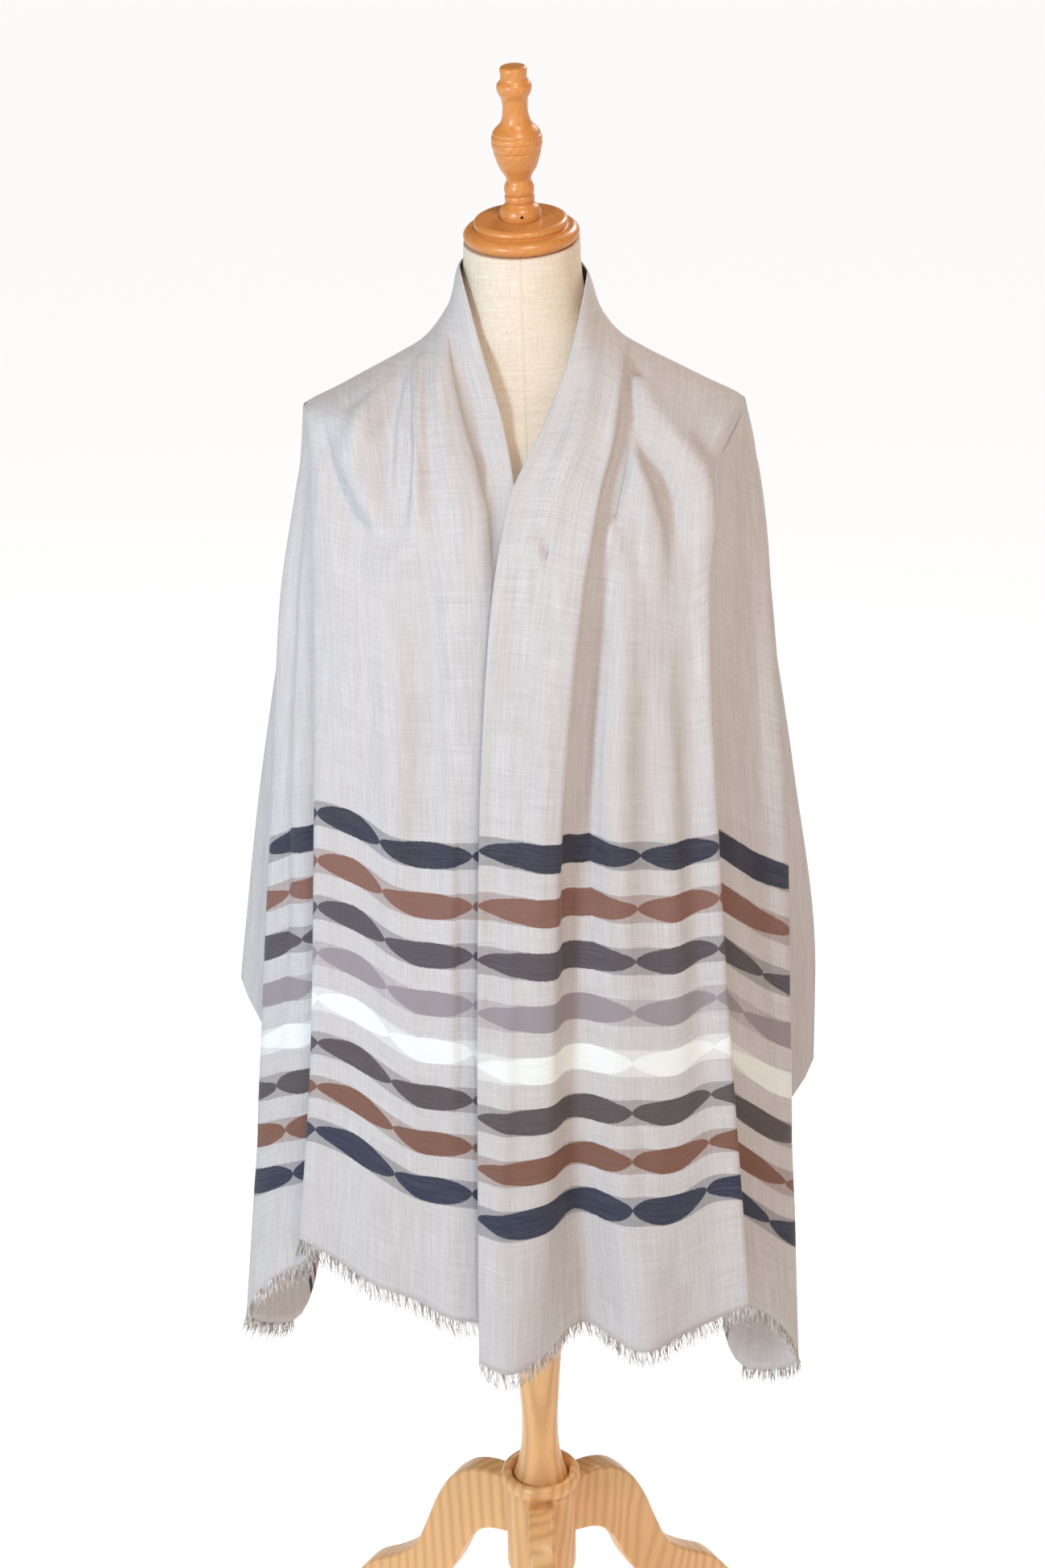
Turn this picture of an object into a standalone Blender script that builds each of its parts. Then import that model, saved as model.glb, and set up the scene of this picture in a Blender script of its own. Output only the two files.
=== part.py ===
"""Modal shawl laid over a limbless dress form on a turned wooden stand.

Metres, +Z up, front towards -Y, +X to the right as seen from the front.
The origin is on the floor, under the middle of the whole object's box.
The shawl is one sheet: it goes from the left front's inner edge, round the
left shoulder, the back and the right shoulder, to the band on the right front.
"""
import math
from collections import namedtuple

import bmesh
import bpy
from mathutils import Matrix, Vector

# ---------------------------------------------------------------- sizes
AXIS_Y = 0.0741           # the pole stands this far behind the origin
CLOTH_WALL = 0.0014       # shawl and fringe thickness
PART_GAP = 0.0003         # between solids that touch on the real object
HEM_GAP = 0.0005          # between the cloth's edge and its fringe
FRINGE_STRIP = 0.0025     # height of the strip the strands grow from
STRAND_LENGTH = 0.0125
STRAND_PITCH = 0.0046
STRAND_TIP = 0.28         # a strand's tip as a share of its root
TURN_LIMIT = 0.80         # no strand grows where the hem turns more sharply than this cosine
CREST_POWER = 2.2         # fullness of the front's level section
BACK_POWER = 2.3          # and of the back's
BACK_SPREAD = 1.24        # the back hem's width over the shoulder width
BACK_EXTRA = 0.050        # how much wider the hanging back's section is
ROWS = 18                 # rows of cells from shoulder to hem
ROW_POWER = 1.6           # crowds the rows towards the shoulder

NECK_TOP = 1.464          # top of the form's neck on its axis
HEAD_PITCH = math.radians(13.0)   # neck top leans towards the front
HEAD_LEAN = math.radians(2.0)     # and a little to the left
HEAD_FROM = 1.405         # the lean starts here and is full at the top
FORM_BOTTOM = 0.760
FORM_SIDES = 32

CAP_RADIUS = 0.0460
CAP_STEP_RADIUS = 0.0375
CAP_LOWER = 0.0115        # thickness of the cap's lower step
CAP_UPPER = 0.0065        # thickness of its upper step

LEG_COUNT = 3
LEG_HALF = 0.0125         # half the thickness of a leg
LEG_ROUND = 0.0035        # rounding of its edges
HUB_RADIUS = 0.0330
HUB_TOP = 0.2985
HUB_BOTTOM = 0.1960
HUB_ROUND = 0.0140
RING_RADIUS = 0.0378
RING_BORE = 0.0268
RING_HEIGHT = 0.0150
POLE_TURNS = 20
LATHE_TURNS = 24

# The form, from its neck to its flat bottom: a row for each level section.
FormSection = namedtuple("FormSection", "z half front back")
FORM = (
    FormSection(1.4640, 0.0440, 0.0440, 0.0440),
    FormSection(1.4350, 0.0445, 0.0450, 0.0450),
    FormSection(1.4100, 0.0475, 0.0480, 0.0480),
    FormSection(1.3980, 0.0620, 0.0520, 0.0510),
    FormSection(1.3835, 0.0796, 0.0530, 0.0530),
    FormSection(1.3625, 0.1190, 0.0590, 0.0570),
    FormSection(1.3430, 0.1566, 0.0685, 0.0640),
    FormSection(1.3290, 0.1710, 0.0800, 0.0700),
    FormSection(1.3000, 0.1770, 0.0920, 0.0770),
    FormSection(1.2500, 0.1760, 0.1060, 0.0850),
    FormSection(1.1800, 0.1640, 0.1150, 0.0870),
    FormSection(1.1000, 0.1360, 0.1060, 0.0790),
    FormSection(1.0200, 0.1180, 0.0900, 0.0730),
    FormSection(0.9400, 0.1300, 0.0920, 0.0850),
    FormSection(0.8600, 0.1520, 0.0990, 0.0980),
    FormSection(0.8000, 0.1600, 0.1020, 0.1020),
    FormSection(FORM_BOTTOM, 0.1570, 0.1000, 0.1000),
)

# The shawl's level sections: half width, and how far it stands out in front
# and at the back, before folds.
ClothSection = namedtuple("ClothSection", "z half front back")
CLOTH = (
    ClothSection(0.4000, 0.2740, 0.1410, 0.1310),
    ClothSection(0.6000, 0.2560, 0.1380, 0.1280),
    ClothSection(0.8000, 0.2380, 0.1345, 0.1220),
    ClothSection(1.0000, 0.2180, 0.1310, 0.1130),
    ClothSection(1.1800, 0.2010, 0.1255, 0.1020),
    ClothSection(1.2500, 0.1930, 0.1180, 0.0970),
    ClothSection(1.3000, 0.1860, 0.1040, 0.0890),
    ClothSection(1.3350, 0.1785, 0.0880, 0.0800),
    ClothSection(1.3450, 0.1600, 0.0825, 0.0765),
    ClothSection(1.3650, 0.1210, 0.0725, 0.0705),
    ClothSection(1.3870, 0.0810, 0.0640, 0.0650),
    ClothSection(1.4000, 0.0690, 0.0600, 0.0620),
    ClothSection(1.4200, 0.0570, 0.0555, 0.0580),
    ClothSection(1.4460, 0.0505, 0.0505, 0.0540),
)

# Lines down the fronts. x at the shoulder's crest and at named heights, z of
# the hem, then how far the line stands proud of the plain drape at five
# heights. cells: columns of the mesh from this line to the next.
NECK_Z, CHEST_Z, BREAST_Z, BUST_Z, WAIST_Z, HIP_Z = 1.38, 1.33, 1.28, 1.18, 1.00, 0.80
FrontLine = namedtuple("FrontLine", "name cells crest neck chest breast bust waist hip hem foot "
                       "lift_neck lift_breast lift_bust lift_hip lift_hem")
LEFT_FRONT = (
    FrontLine("inner_edge", 3, -.0500, -.0300, -.0155, -.0080, -.004, -.006, -.012, -.018, .552,
              .000, .000, .000, .000, .000),
    FrontLine("under_roll", 1, -.0600, -.0560, -.0435, -.0285, -.025, -.031, -.037, -.045, .557,
              .000, .000, .000, .000, .000),
    FrontLine("roll_edge", 2, -.0625, -.0580, -.0460, -.0310, -.028, -.034, -.040, -.048, .560,
              .005, .004, .001, .000, .000),
    FrontLine("outer_roll", 2, -.0800, -.0830, -.0820, -.0780, -.070, -.063, -.066, -.074, .567,
              .005, .005, .003, .002, .003),
    FrontLine("panel_inner", 2, -.1000, -.1000, -.0980, -.0950, -.093, -.094, -.099, -.107, .580,
              .000, .000, .000, -.001, -.003),
    FrontLine("panel_mid", 2, -.1280, -.1280, -.1240, -.1190, -.119, -.122, -.130, -.142, .594,
              .000, .002, .002, .002, .003),
    FrontLine("panel_outer", 2, -.1530, -.1530, -.1490, -.1450, -.146, -.151, -.161, -.177, .610,
              .000, .001, .000, .000, .000),
    FrontLine("turn", 2, -.1735, -.1735, -.1720, -.1690, -.170, -.1785, -.190, -.208, .622,
              .000, .000, .004, .006, .006),
)
RIGHT_FRONT = (
    FrontLine("band_inner", 3, .0520, .0340, .0115, -.0140, -.0310, -.0425, -.048, -.0525, .529,
              .001, .008, .012, .013, .010),
    FrontLine("band_mid", 3, .0640, .0570, .0430, .0230, .005, -.010, -.0175, -.026, .522,
              .006, .010, .013, .014, .016),
    FrontLine("band_edge", 1, .0730, .0775, .0700, .0560, .0400, .0235, .0150, -.002, .527,
              .008, .011, .012, .011, .003),
    FrontLine("under_band", 2, .0765, .0805, .0720, .0570, .0400, .0240, .0260, .0370, .534,
              .000, .000, .000, -.006, -.046),
    FrontLine("panel_inner", 2, .0980, .0980, .0940, .0860, .080, .078, .083, .095, .528,
              .000, .003, .002, .001, .001),
    FrontLine("panel_mid", 2, .1240, .1240, .1170, .1080, .106, .109, .117, .130, .538,
              .000, .000, .000, .000, -.006),
    FrontLine("panel_outer", 2, .1480, .1480, .1400, .1260, .125, .132, .144, .160, .549,
              .000, .001, .001, .001, -.003),
    FrontLine("turn", 2, .1760, .1760, .1700, .1450, .144, .152, .1655, .185, .560,
              .000, .003, .006, .008, .008),
)

# Lines down the sides, which all start at the shoulder's tip: x and y at
# named heights and at the foot, then the foot's z.
SHOULDER_Z = 1.30
SideLine = namedtuple("SideLine", "name cells shoulder bust waist hip foot foot_z")
LEFT_SIDE = (
    SideLine("tuck", 2, (-.1700, -.040), (-.1680, -.062), (-.1715, -.074), (-.1815, -.076),
             (-.1980, -.078), .600),
    SideLine("side", 2, (-.1770, -.024), (-.1890, -.048), (-.2000, -.056), (-.2180, -.056),
             (-.2440, -.056), .556),
    SideLine("brim", 2, (-.1815, -.004), (-.2000, -.020), (-.2165, -.028), (-.2360, -.030),
             (-.2670, -.030), .508),
    SideLine("corner", 3, (-.1810, .008), (-.1960, .000), (-.2080, .000), (-.2190, .004),
             (-.2310, .020), .468),
    SideLine("valley", 3, (-.1800, .016), (-.1880, .022), (-.1890, .030), (-.1900, .034),
             (-.1970, .040), .640),
    SideLine("flare", 2, (-.1800, .028), (-.2000, .052), (-.2310, .072), (-.2620, .083),
             (-.2560, .083), .815),
)
RIGHT_SIDE = (
    SideLine("tuck", 2, (.1540, -.060), (.1450, -.076), (.1490, -.088), (.1600, -.090),
             (.1760, -.088), .550),
    SideLine("side", 2, (.1700, -.040), (.1730, -.058), (.1850, -.064), (.1970, -.064),
             (.2150, -.060), .510),
    SideLine("brim", 2, (.1860, -.008), (.1990, -.020), (.2150, -.028), (.2240, -.030),
             (.2390, -.030), .448),
    SideLine("corner", 3, (.1850, .006), (.1950, .000), (.2050, .002), (.2050, .006),
             (.1940, .020), .410),
    SideLine("valley", 3, (.1825, .016), (.1880, .024), (.1880, .032), (.1800, .036),
             (.1720, .044), .560),
    SideLine("flare", 2, (.1815, .028), (.2000, .052), (.2280, .073), (.2510, .084),
             (.2500, .084), .728),
)
TIP_X = 0.1785            # the shoulder's tip, where the side lines meet
NAPE_SHARES = (-0.62, 0.0, 0.62)   # lines round the nape, as shares of the neck's half width
NAPE_CELLS = 2
BACK_HEM = ((-0.26, 0.815), (0.0, 0.765), (0.26, 0.728))   # x and z of the back's hem

# Soft ridges pulled from the collar across the shoulders: both ends in x and
# z, height and width.
Ridge = namedtuple("Ridge", "x0 z0 x1 z1 height width")
RIDGES = (
    Ridge(-.090, 1.372, -.158, 1.290, .0050, .010),
    Ridge(-.088, 1.350, -.132, 1.235, .0055, .012),
    Ridge(-.084, 1.320, -.105, 1.190, .0035, .012),
    Ridge(.084, 1.380, .130, 1.322, .0050, .010),
    Ridge(.128, 1.335, .146, 1.215, .0045, .013),
    Ridge(.080, 1.350, .092, 1.215, .0030, .010),
)
# Flutes of the hanging back: x at the hem, height there and width.
Flute = namedtuple("Flute", "x height width")
FLUTES = (
    Flute(-.195, .012, .030),
    Flute(-.120, -.007, .026),
    Flute(-.052, .011, .028),
    Flute(.030, -.006, .026),
    Flute(.098, .010, .026),
    Flute(.180, .012, .034),
)
FLUTE_TOP, FLUTE_FULL = 1.22, 0.80
ROLL_Z, ROLL_HEIGHT, ROLL_WIDTH = 1.414, 0.006, 0.012   # the collar's roll round the nape

# Turned profiles: radius and height, from the top down.
Turning = namedtuple("Turning", "radius height")
FINIAL = (
    Turning(.0088, .1170), Turning(.0103, .1160), Turning(.0100, .1085), Turning(.0108, .1065),
    Turning(.0134, .1030), Turning(.0136, .1000), Turning(.0122, .0960), Turning(.0100, .0930),
    Turning(.0098, .0900), Turning(.0102, .0800), Turning(.0122, .0745), Turning(.0178, .0685),
    Turning(.0200, .0630), Turning(.0196, .0575), Turning(.0180, .0500), Turning(.0146, .0400),
    Turning(.0104, .0330), Turning(.0094, .0295), Turning(.0112, .0255), Turning(.0117, .0215),
    Turning(.0111, .0180), Turning(.0118, .0145), Turning(.0116, .0118), Turning(.0146, .0085),
    Turning(.0164, .0045), Turning(.0162, .0000),
)
POLE = (
    Turning(.0160, .7597), Turning(.0200, .7560), Turning(.0200, .7500), Turning(.0165, .7460),
    Turning(.0170, .7000), Turning(.0200, .6200), Turning(.0238, .5350), Turning(.0222, .4600),
    Turning(.0185, .4000), Turning(.0170, .3660), Turning(.0184, .3380), Turning(.0222, .3180),
    Turning(.0262, .3060), Turning(.0262, HUB_TOP + PART_GAP),
)
# A leg's outline seen from its side: distance from the pole's axis and height.
LegPoint = namedtuple("LegPoint", "reach height")
LEG_TOP = (
    LegPoint(.0240, .2955), LegPoint(.0540, .2985), LegPoint(.0750, .2930), LegPoint(.0950, .2765),
    LegPoint(.1110, .2500), LegPoint(.1260, .2120), LegPoint(.1410, .1800), LegPoint(.1650, .1590),
    LegPoint(.1930, .1410), LegPoint(.2170, .1120), LegPoint(.2420, .0720), LegPoint(.2720, .0390),
    LegPoint(.3030, .0240), LegPoint(.3160, .0120),
)
LEG_UNDER = (
    LegPoint(.2450, .0190), LegPoint(.2100, .0590), LegPoint(.1740, .0980), LegPoint(.1380, .1230),
    LegPoint(.1090, .1490), LegPoint(.0910, .1780), LegPoint(.0780, .2060), LegPoint(.0600, .2280),
    LegPoint(.0240, .2365),
)
FOOT_HEEL, FOOT_TOE = 0.2720, 0.3130    # the flat that stands on the floor


# ---------------------------------------------------------------- helpers
def clear_scene():
    for item in list(bpy.data.objects):
        bpy.data.objects.remove(item, do_unlink=True)


def material(name, colour, roughness, sheen=0.0):
    """A Principled BSDF with the part's colour."""
    made = bpy.data.materials.new(name)
    made.use_nodes = True
    shader = made.node_tree.nodes["Principled BSDF"]
    shader.inputs["Base Color"].default_value = (*colour, 1.0)
    shader.inputs["Roughness"].default_value = roughness
    shader.inputs["Metallic"].default_value = 0.0
    shader.inputs["Sheen Weight"].default_value = sheen
    return made


def place(name, mesh, finish, collection, smooth_angle=None):
    """Link a mesh as a named sub-part with its finish."""
    item = bpy.data.objects.new(name, mesh)
    collection.objects.link(item)
    mesh.materials.append(finish)
    if smooth_angle is not None:
        mesh.shade_smooth()
        mesh.set_sharp_from_angle(angle=math.radians(smooth_angle))
    return item


def mesh_from(name, points, faces):
    mesh = bpy.data.meshes.new(name)
    mesh.from_pydata([tuple(p) for p in points], [], faces)
    mesh.update()
    return mesh


def slopes(knots, values):
    """Tangents that keep a cubic from overshooting its knots."""
    steps = [(values[i + 1] - values[i]) / (knots[i + 1] - knots[i]) for i in range(len(knots) - 1)]
    inner = []
    for before, after in zip(steps, steps[1:]):
        inner.append(2 * before * after / (before + after) if before * after > 0 else 0.0)
    return [steps[0]] + inner + [steps[-1]]


def along(knots, values, at):
    """Smooth value at a place between rising knots, held at both ends."""
    if at <= knots[0]:
        return values[0]
    if at >= knots[-1]:
        return values[-1]
    i = max(k for k in range(len(knots) - 1) if knots[k] <= at)
    tangents = slopes(knots, values)
    width = knots[i + 1] - knots[i]
    t = (at - knots[i]) / width
    rise = t * t * (3 - 2 * t)
    pull = tangents[i] * (t ** 3 - 2 * t * t + t) + tangents[i + 1] * (t ** 3 - t * t)
    return values[i] + (values[i + 1] - values[i]) * rise + width * pull


def ramp(at, start, full):
    """0 at start, 1 at full, with a soft change between."""
    t = min(max((at - start) / (full - start), 0.0), 1.0)
    return t * t * (3 - 2 * t)


def curve_points(keys, cells):
    """Points of a smooth curve through keys, cells[i] steps in span i."""
    gaps = [max((b - a).length, 1e-6) for a, b in zip(keys, keys[1:])]
    tangents = [(keys[1] - keys[0]) / gaps[0]]
    for i in range(1, len(keys) - 1):
        before = (keys[i] - keys[i - 1]) / gaps[i - 1]
        after = (keys[i + 1] - keys[i]) / gaps[i]
        tangents.append((before * gaps[i] + after * gaps[i - 1]) / (gaps[i] + gaps[i - 1]))
    tangents.append((keys[-1] - keys[-2]) / gaps[-1])
    points = []
    for i, count in enumerate(cells):
        for step in range(count):
            t = step / count
            rise = t * t * (3 - 2 * t)
            start = tangents[i] * (gaps[i] * (t ** 3 - 2 * t * t + t))
            end = tangents[i + 1] * (gaps[i] * (t ** 3 - t * t))
            points.append(keys[i].lerp(keys[i + 1], rise) + start + end)
    points.append(keys[-1].copy())
    return points


def turned(name, profile, finish, collection, steps):
    """A turned piece: the profile at +X, top to bottom, swept by Screw."""
    outline = [(0.0, 0.0, profile[0].height)]
    outline += [(p.radius, 0.0, p.height) for p in profile]
    outline += [(0.0, 0.0, profile[-1].height)]
    mesh = bpy.data.meshes.new(name)
    mesh.from_pydata(outline, [(i, i + 1) for i in range(len(outline) - 1)], [])
    item = place(name, mesh, finish, collection)
    sweep_round(item, steps)
    return item


def sweep_round(item, steps):
    """Sweeps an outline round Z in this many steps."""
    sweep = item.modifiers.new("Screw", "SCREW")
    sweep.steps = steps
    sweep.render_steps = steps
    sweep.use_merge_vertices = True
    sweep.merge_threshold = 0.00005
    sweep.use_smooth_shade = True


# ---------------------------------------------------------------- the form
def head_turn():
    """The lean of the neck's top, and of what stands on it."""
    return Matrix.Rotation(HEAD_PITCH, 4, "X") @ Matrix.Rotation(-HEAD_LEAN, 4, "Y")


def build_form(finish, collection):
    """The linen form: level sections from the neck down, capped flat."""
    face = head_turn().to_3x3() @ Vector((0, 0, 1))
    points = []
    for section in FORM:
        lean = ramp(section.z, HEAD_FROM, NECK_TOP)
        for side in range(FORM_SIDES):
            angle = 2 * math.pi * side / FORM_SIDES
            depth = section.front if math.sin(angle) < 0 else section.back
            x = section.half * math.cos(angle)
            y = depth * math.sin(angle)
            drop = -(face.x * x + face.y * y) / face.z
            points.append((x, y + AXIS_Y, section.z + lean * drop))
    faces = [tuple(range(FORM_SIDES))]
    for row in range(len(FORM) - 1):
        upper, lower = row * FORM_SIDES, (row + 1) * FORM_SIDES
        for side in range(FORM_SIDES):
            after = (side + 1) % FORM_SIDES
            faces.append((upper + side, lower + side, lower + after, upper + after))
    last = (len(FORM) - 1) * FORM_SIDES
    faces.append(tuple(last + side for side in reversed(range(FORM_SIDES))))
    return place("form_torso", mesh_from("form_torso", points, faces), finish, collection, 50)


def head_matrix(height):
    """Stands a piece on the neck's top, this far above it along the lean."""
    return Matrix.Translation((0, AXIS_Y, NECK_TOP)) @ head_turn() @ Matrix.Translation((0, 0, height))


def build_head(finish, collection):
    """The stepped cap on the neck and the finial on the cap."""
    top = CAP_LOWER + CAP_UPPER
    cap_profile = (
        Turning(CAP_STEP_RADIUS - 0.0035, top),
        Turning(CAP_STEP_RADIUS - 0.0008, top - 0.0015),
        Turning(CAP_STEP_RADIUS, top - 0.0036),
        Turning(CAP_STEP_RADIUS - 0.0008, CAP_LOWER + 0.0004),
        Turning(CAP_STEP_RADIUS + 0.0040, CAP_LOWER - 0.0004),
        Turning(CAP_RADIUS - 0.0022, CAP_LOWER - 0.0018),
        Turning(CAP_RADIUS, CAP_LOWER * 0.55),
        Turning(CAP_RADIUS - 0.0012, 0.0022),
        Turning(CAP_RADIUS - 0.0040, 0.0),
    )
    cap = turned("neck_cap", cap_profile, finish, collection, LATHE_TURNS)
    cap.matrix_world = head_matrix(PART_GAP)
    finial = turned("finial", FINIAL, finish, collection, 16)
    finial.matrix_world = head_matrix(top + 2 * PART_GAP)


# ---------------------------------------------------------------- the stand
def build_post(finish, collection):
    """The turned pole, the ring at its foot and the hub that takes the legs."""
    pole = turned("pole", POLE, finish, collection, POLE_TURNS)
    hub_profile = [Turning(HUB_RADIUS - 0.0015, HUB_TOP), Turning(HUB_RADIUS, HUB_TOP - 0.0015)]
    for step in range(5):
        angle = math.radians(90 * step / 4)
        radius = HUB_RADIUS - HUB_ROUND * (1 - math.cos(angle))
        hub_profile.append(Turning(radius, HUB_BOTTOM + HUB_ROUND * (1 - math.sin(angle))))
    hub = turned("hub", hub_profile, finish, collection, LATHE_TURNS)
    middle = (RING_RADIUS + RING_BORE) / 2
    reach = (RING_RADIUS - RING_BORE) / 2
    outline = []
    for step in range(10):
        angle = 2 * math.pi * step / 10
        height = HUB_TOP + PART_GAP + RING_HEIGHT / 2 * (1 + math.cos(angle))
        outline.append((middle + reach * math.sin(angle), 0.0, height))
    mesh = bpy.data.meshes.new("ring")
    mesh.from_pydata(outline, [(i, (i + 1) % 10) for i in range(10)], [])
    ring = place("ring", mesh, finish, collection)
    sweep_round(ring, LATHE_TURNS)
    for item in (pole, hub, ring):
        item.location = (0.0, AXIS_Y, 0.0)


def leg_outline():
    """The leg's closed outline, smooth above and below, flat at the foot."""
    upper = [Vector((p.reach, p.height, 0)) for p in LEG_TOP]
    under = [Vector((p.reach, p.height, 0)) for p in LEG_UNDER]
    points = curve_points(upper, [1] * (len(upper) - 1))
    points += [Vector((FOOT_TOE, 0, 0)), Vector((FOOT_HEEL, 0, 0))]
    points += curve_points(under, [1] * (len(under) - 1))
    return points


def build_legs(finish, collection, cutters):
    """Three legs sawn from board with their edges rounded."""
    outline = leg_outline()
    curve = bpy.data.curves.new("leg_outline", "CURVE")
    curve.dimensions = "2D"
    curve.fill_mode = "BOTH"
    curve.extrude = LEG_HALF
    spline = curve.splines.new("POLY")
    spline.points.add(len(outline) - 1)
    for knot, place_at in zip(spline.points, outline):
        knot.co = (place_at.x, place_at.y, 0.0, 1.0)
    spline.use_cyclic_u = True
    guide = bpy.data.objects.new("leg_outline", curve)
    collection.objects.link(guide)
    bpy.context.view_layer.update()
    graph = bpy.context.evaluated_depsgraph_get()
    board = bpy.data.meshes.new_from_object(guide.evaluated_get(graph))
    bpy.data.objects.remove(guide, do_unlink=True)
    shape = bmesh.new()
    shape.from_mesh(board)
    bmesh.ops.remove_doubles(shape, verts=shape.verts, dist=0.00001)
    bmesh.ops.dissolve_limit(shape, angle_limit=math.radians(1), verts=shape.verts, edges=shape.edges)
    bmesh.ops.recalc_face_normals(shape, faces=shape.faces)
    shape.to_mesh(board)
    shape.free()
    board.transform(Matrix.Rotation(math.radians(90), 4, "X"))
    cutter = hub_cutter(cutters)
    for number in range(LEG_COUNT):
        heading = math.radians(-90 + 360 * number / LEG_COUNT)
        leg = place("leg_%d" % (number + 1), board.copy(), finish, collection)
        leg.matrix_world = Matrix.Translation((0, AXIS_Y, 0)) @ Matrix.Rotation(heading, 4, "Z")
        edge = leg.modifiers.new("Bevel", "BEVEL")
        edge.width = LEG_ROUND
        edge.segments = 2
        edge.limit_method = "ANGLE"
        edge.angle_limit = math.radians(60)
        scribe = leg.modifiers.new("Boolean", "BOOLEAN")
        scribe.operation = "DIFFERENCE"
        scribe.solver = "EXACT"
        scribe.object = cutter
    bpy.data.meshes.remove(board)


def hub_cutter(cutters):
    """A drum a gap wider than the hub, which scribes the legs' roots to it."""
    bpy.ops.mesh.primitive_cylinder_add(vertices=LATHE_TURNS, radius=HUB_RADIUS + PART_GAP,
                                        depth=0.300, location=(0, AXIS_Y, HUB_TOP))
    cutter = bpy.context.object
    cutter.name = "hub_cutter"
    for owner in list(cutter.users_collection):
        owner.objects.unlink(cutter)
    cutters.objects.link(cutter)
    cutter.hide_render = True
    cutter.display_type = "WIRE"
    return cutter


# ---------------------------------------------------------------- the shawl
def section_at(z):
    """The plain drape's half width, front depth and back depth at a height."""
    heights = [row.z for row in CLOTH]
    return tuple(along(heights, [getattr(row, part) for row in CLOTH], z)
                 for part in ("half", "front", "back"))


def crest_height(x):
    """Height of the shoulder's crest over x: where the section is that wide."""
    low, high = SHOULDER_Z, CLOTH[-1].z
    for _ in range(40):
        middle = (low + high) / 2
        if section_at(middle)[0] > abs(x):
            low = middle
        else:
            high = middle
    return (low + high) / 2


def ridge_height(x, z):
    """The soft ridges' height on the front at x and z."""
    total = 0.0
    for ridge in RIDGES:
        run = Vector((ridge.x1 - ridge.x0, ridge.z1 - ridge.z0))
        place_at = Vector((x - ridge.x0, z - ridge.z0))
        share = place_at.dot(run) / run.length_squared
        if 0.0 < share < 1.0:
            off = (place_at - run * share).length / ridge.width
            total += ridge.height * math.sin(math.pi * share) * math.exp(-off * off)
    return total


def front_point(x, z, lift):
    half, front, _ = section_at(z)
    share = min(abs(x) / half, 1.0)
    depth = front * (1 - share ** CREST_POWER) ** (1 / CREST_POWER)
    settle = ramp(depth, 0.0, 0.035)
    return Vector((x, -depth - settle * (lift + ridge_height(x, z)), z))


def back_point(x, z, x_hem):
    half, _, back = section_at(z)
    share = min(abs(x) / (half + BACK_EXTRA * ramp(z, SHOULDER_Z, WAIST_Z)), 1.0)
    depth = back * (1 - share ** BACK_POWER) ** (1 / BACK_POWER)
    settle = ramp(depth, 0.0, 0.035)
    wave = sum(f.height * math.exp(-((x_hem - f.x) / f.width) ** 2) for f in FLUTES)
    wave *= ramp(z, FLUTE_TOP, FLUTE_FULL)
    roll = ROLL_HEIGHT * math.exp(-((z - ROLL_Z) / ROLL_WIDTH) ** 2)
    return Vector((x, depth + settle * (wave + roll), z))


def back_hem_height(x):
    return along([p[0] for p in BACK_HEM], [p[1] for p in BACK_HEM], x)


def front_column(line, share):
    """The point a share of the way down a front line."""
    top = crest_height(line.crest)
    z = top + (line.foot - top) * share
    heights, places = [line.foot], [line.hem]
    for level, x in ((HIP_Z, line.hip), (WAIST_Z, line.waist), (BUST_Z, line.bust),
                     (BREAST_Z, line.breast), (CHEST_Z, line.chest), (NECK_Z, line.neck)):
        if level < top - 0.012:
            heights.append(level)
            places.append(x)
    heights.append(top)
    places.append(line.crest)
    lifts = [line.lift_hem, line.lift_hip, line.lift_bust, line.lift_breast, line.lift_neck, 0.0]
    steps = [line.foot, HIP_Z, BUST_Z, BREAST_Z, min(NECK_Z, top - 0.03), top]
    steps[3] = min(steps[3], steps[4] - 0.005)
    return front_point(along(heights, places, z), z, along(steps, lifts, z))


def side_column(line, share):
    """The point a share of the way down a side line, from the shoulder's tip."""
    tip = math.copysign(TIP_X, line.hip[0])
    top = crest_height(tip)
    z = top + (line.foot_z - top) * share
    heights, xs, ys = [line.foot_z], [line.foot[0]], [line.foot[1]]
    for level, spot in ((HIP_Z, line.hip), (WAIST_Z, line.waist), (BUST_Z, line.bust),
                        (SHOULDER_Z, line.shoulder)):
        if level > line.foot_z + 0.02:
            heights.append(level)
            xs.append(spot[0])
            ys.append(spot[1])
    heights.append(top)
    xs.append(tip)
    ys.append(0.0)
    return Vector((along(heights, xs, z), along(heights, ys, z), z))


def down_the_back(crest, top, share):
    """The point a share of the way down the back from a place at the top."""
    x_hem = crest * BACK_SPREAD
    z = top + (back_hem_height(x_hem) - top) * share
    return back_point(crest + (x_hem - crest) * ramp(z, 1.34, 0.85), z, x_hem)


def back_column(crest, share):
    return down_the_back(crest, crest_height(crest), share)


def nape_column(share_across, share):
    return down_the_back(CLOTH[-1].half * share_across, CLOTH[-1].z, share)


def half_lines(front, side):
    """One half's lines from its front edge, round its side, to the nape."""
    lines = [(front_column, line) for line in front]
    lines += [(side_column, line) for line in side]
    lines += [(back_column, line.crest) for line in reversed(front)]
    return lines


def half_cells(front, side):
    """Columns of the mesh in each span between those lines."""
    return [line.cells for line in (*front, *side, *reversed(front[:-1]))]


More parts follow.
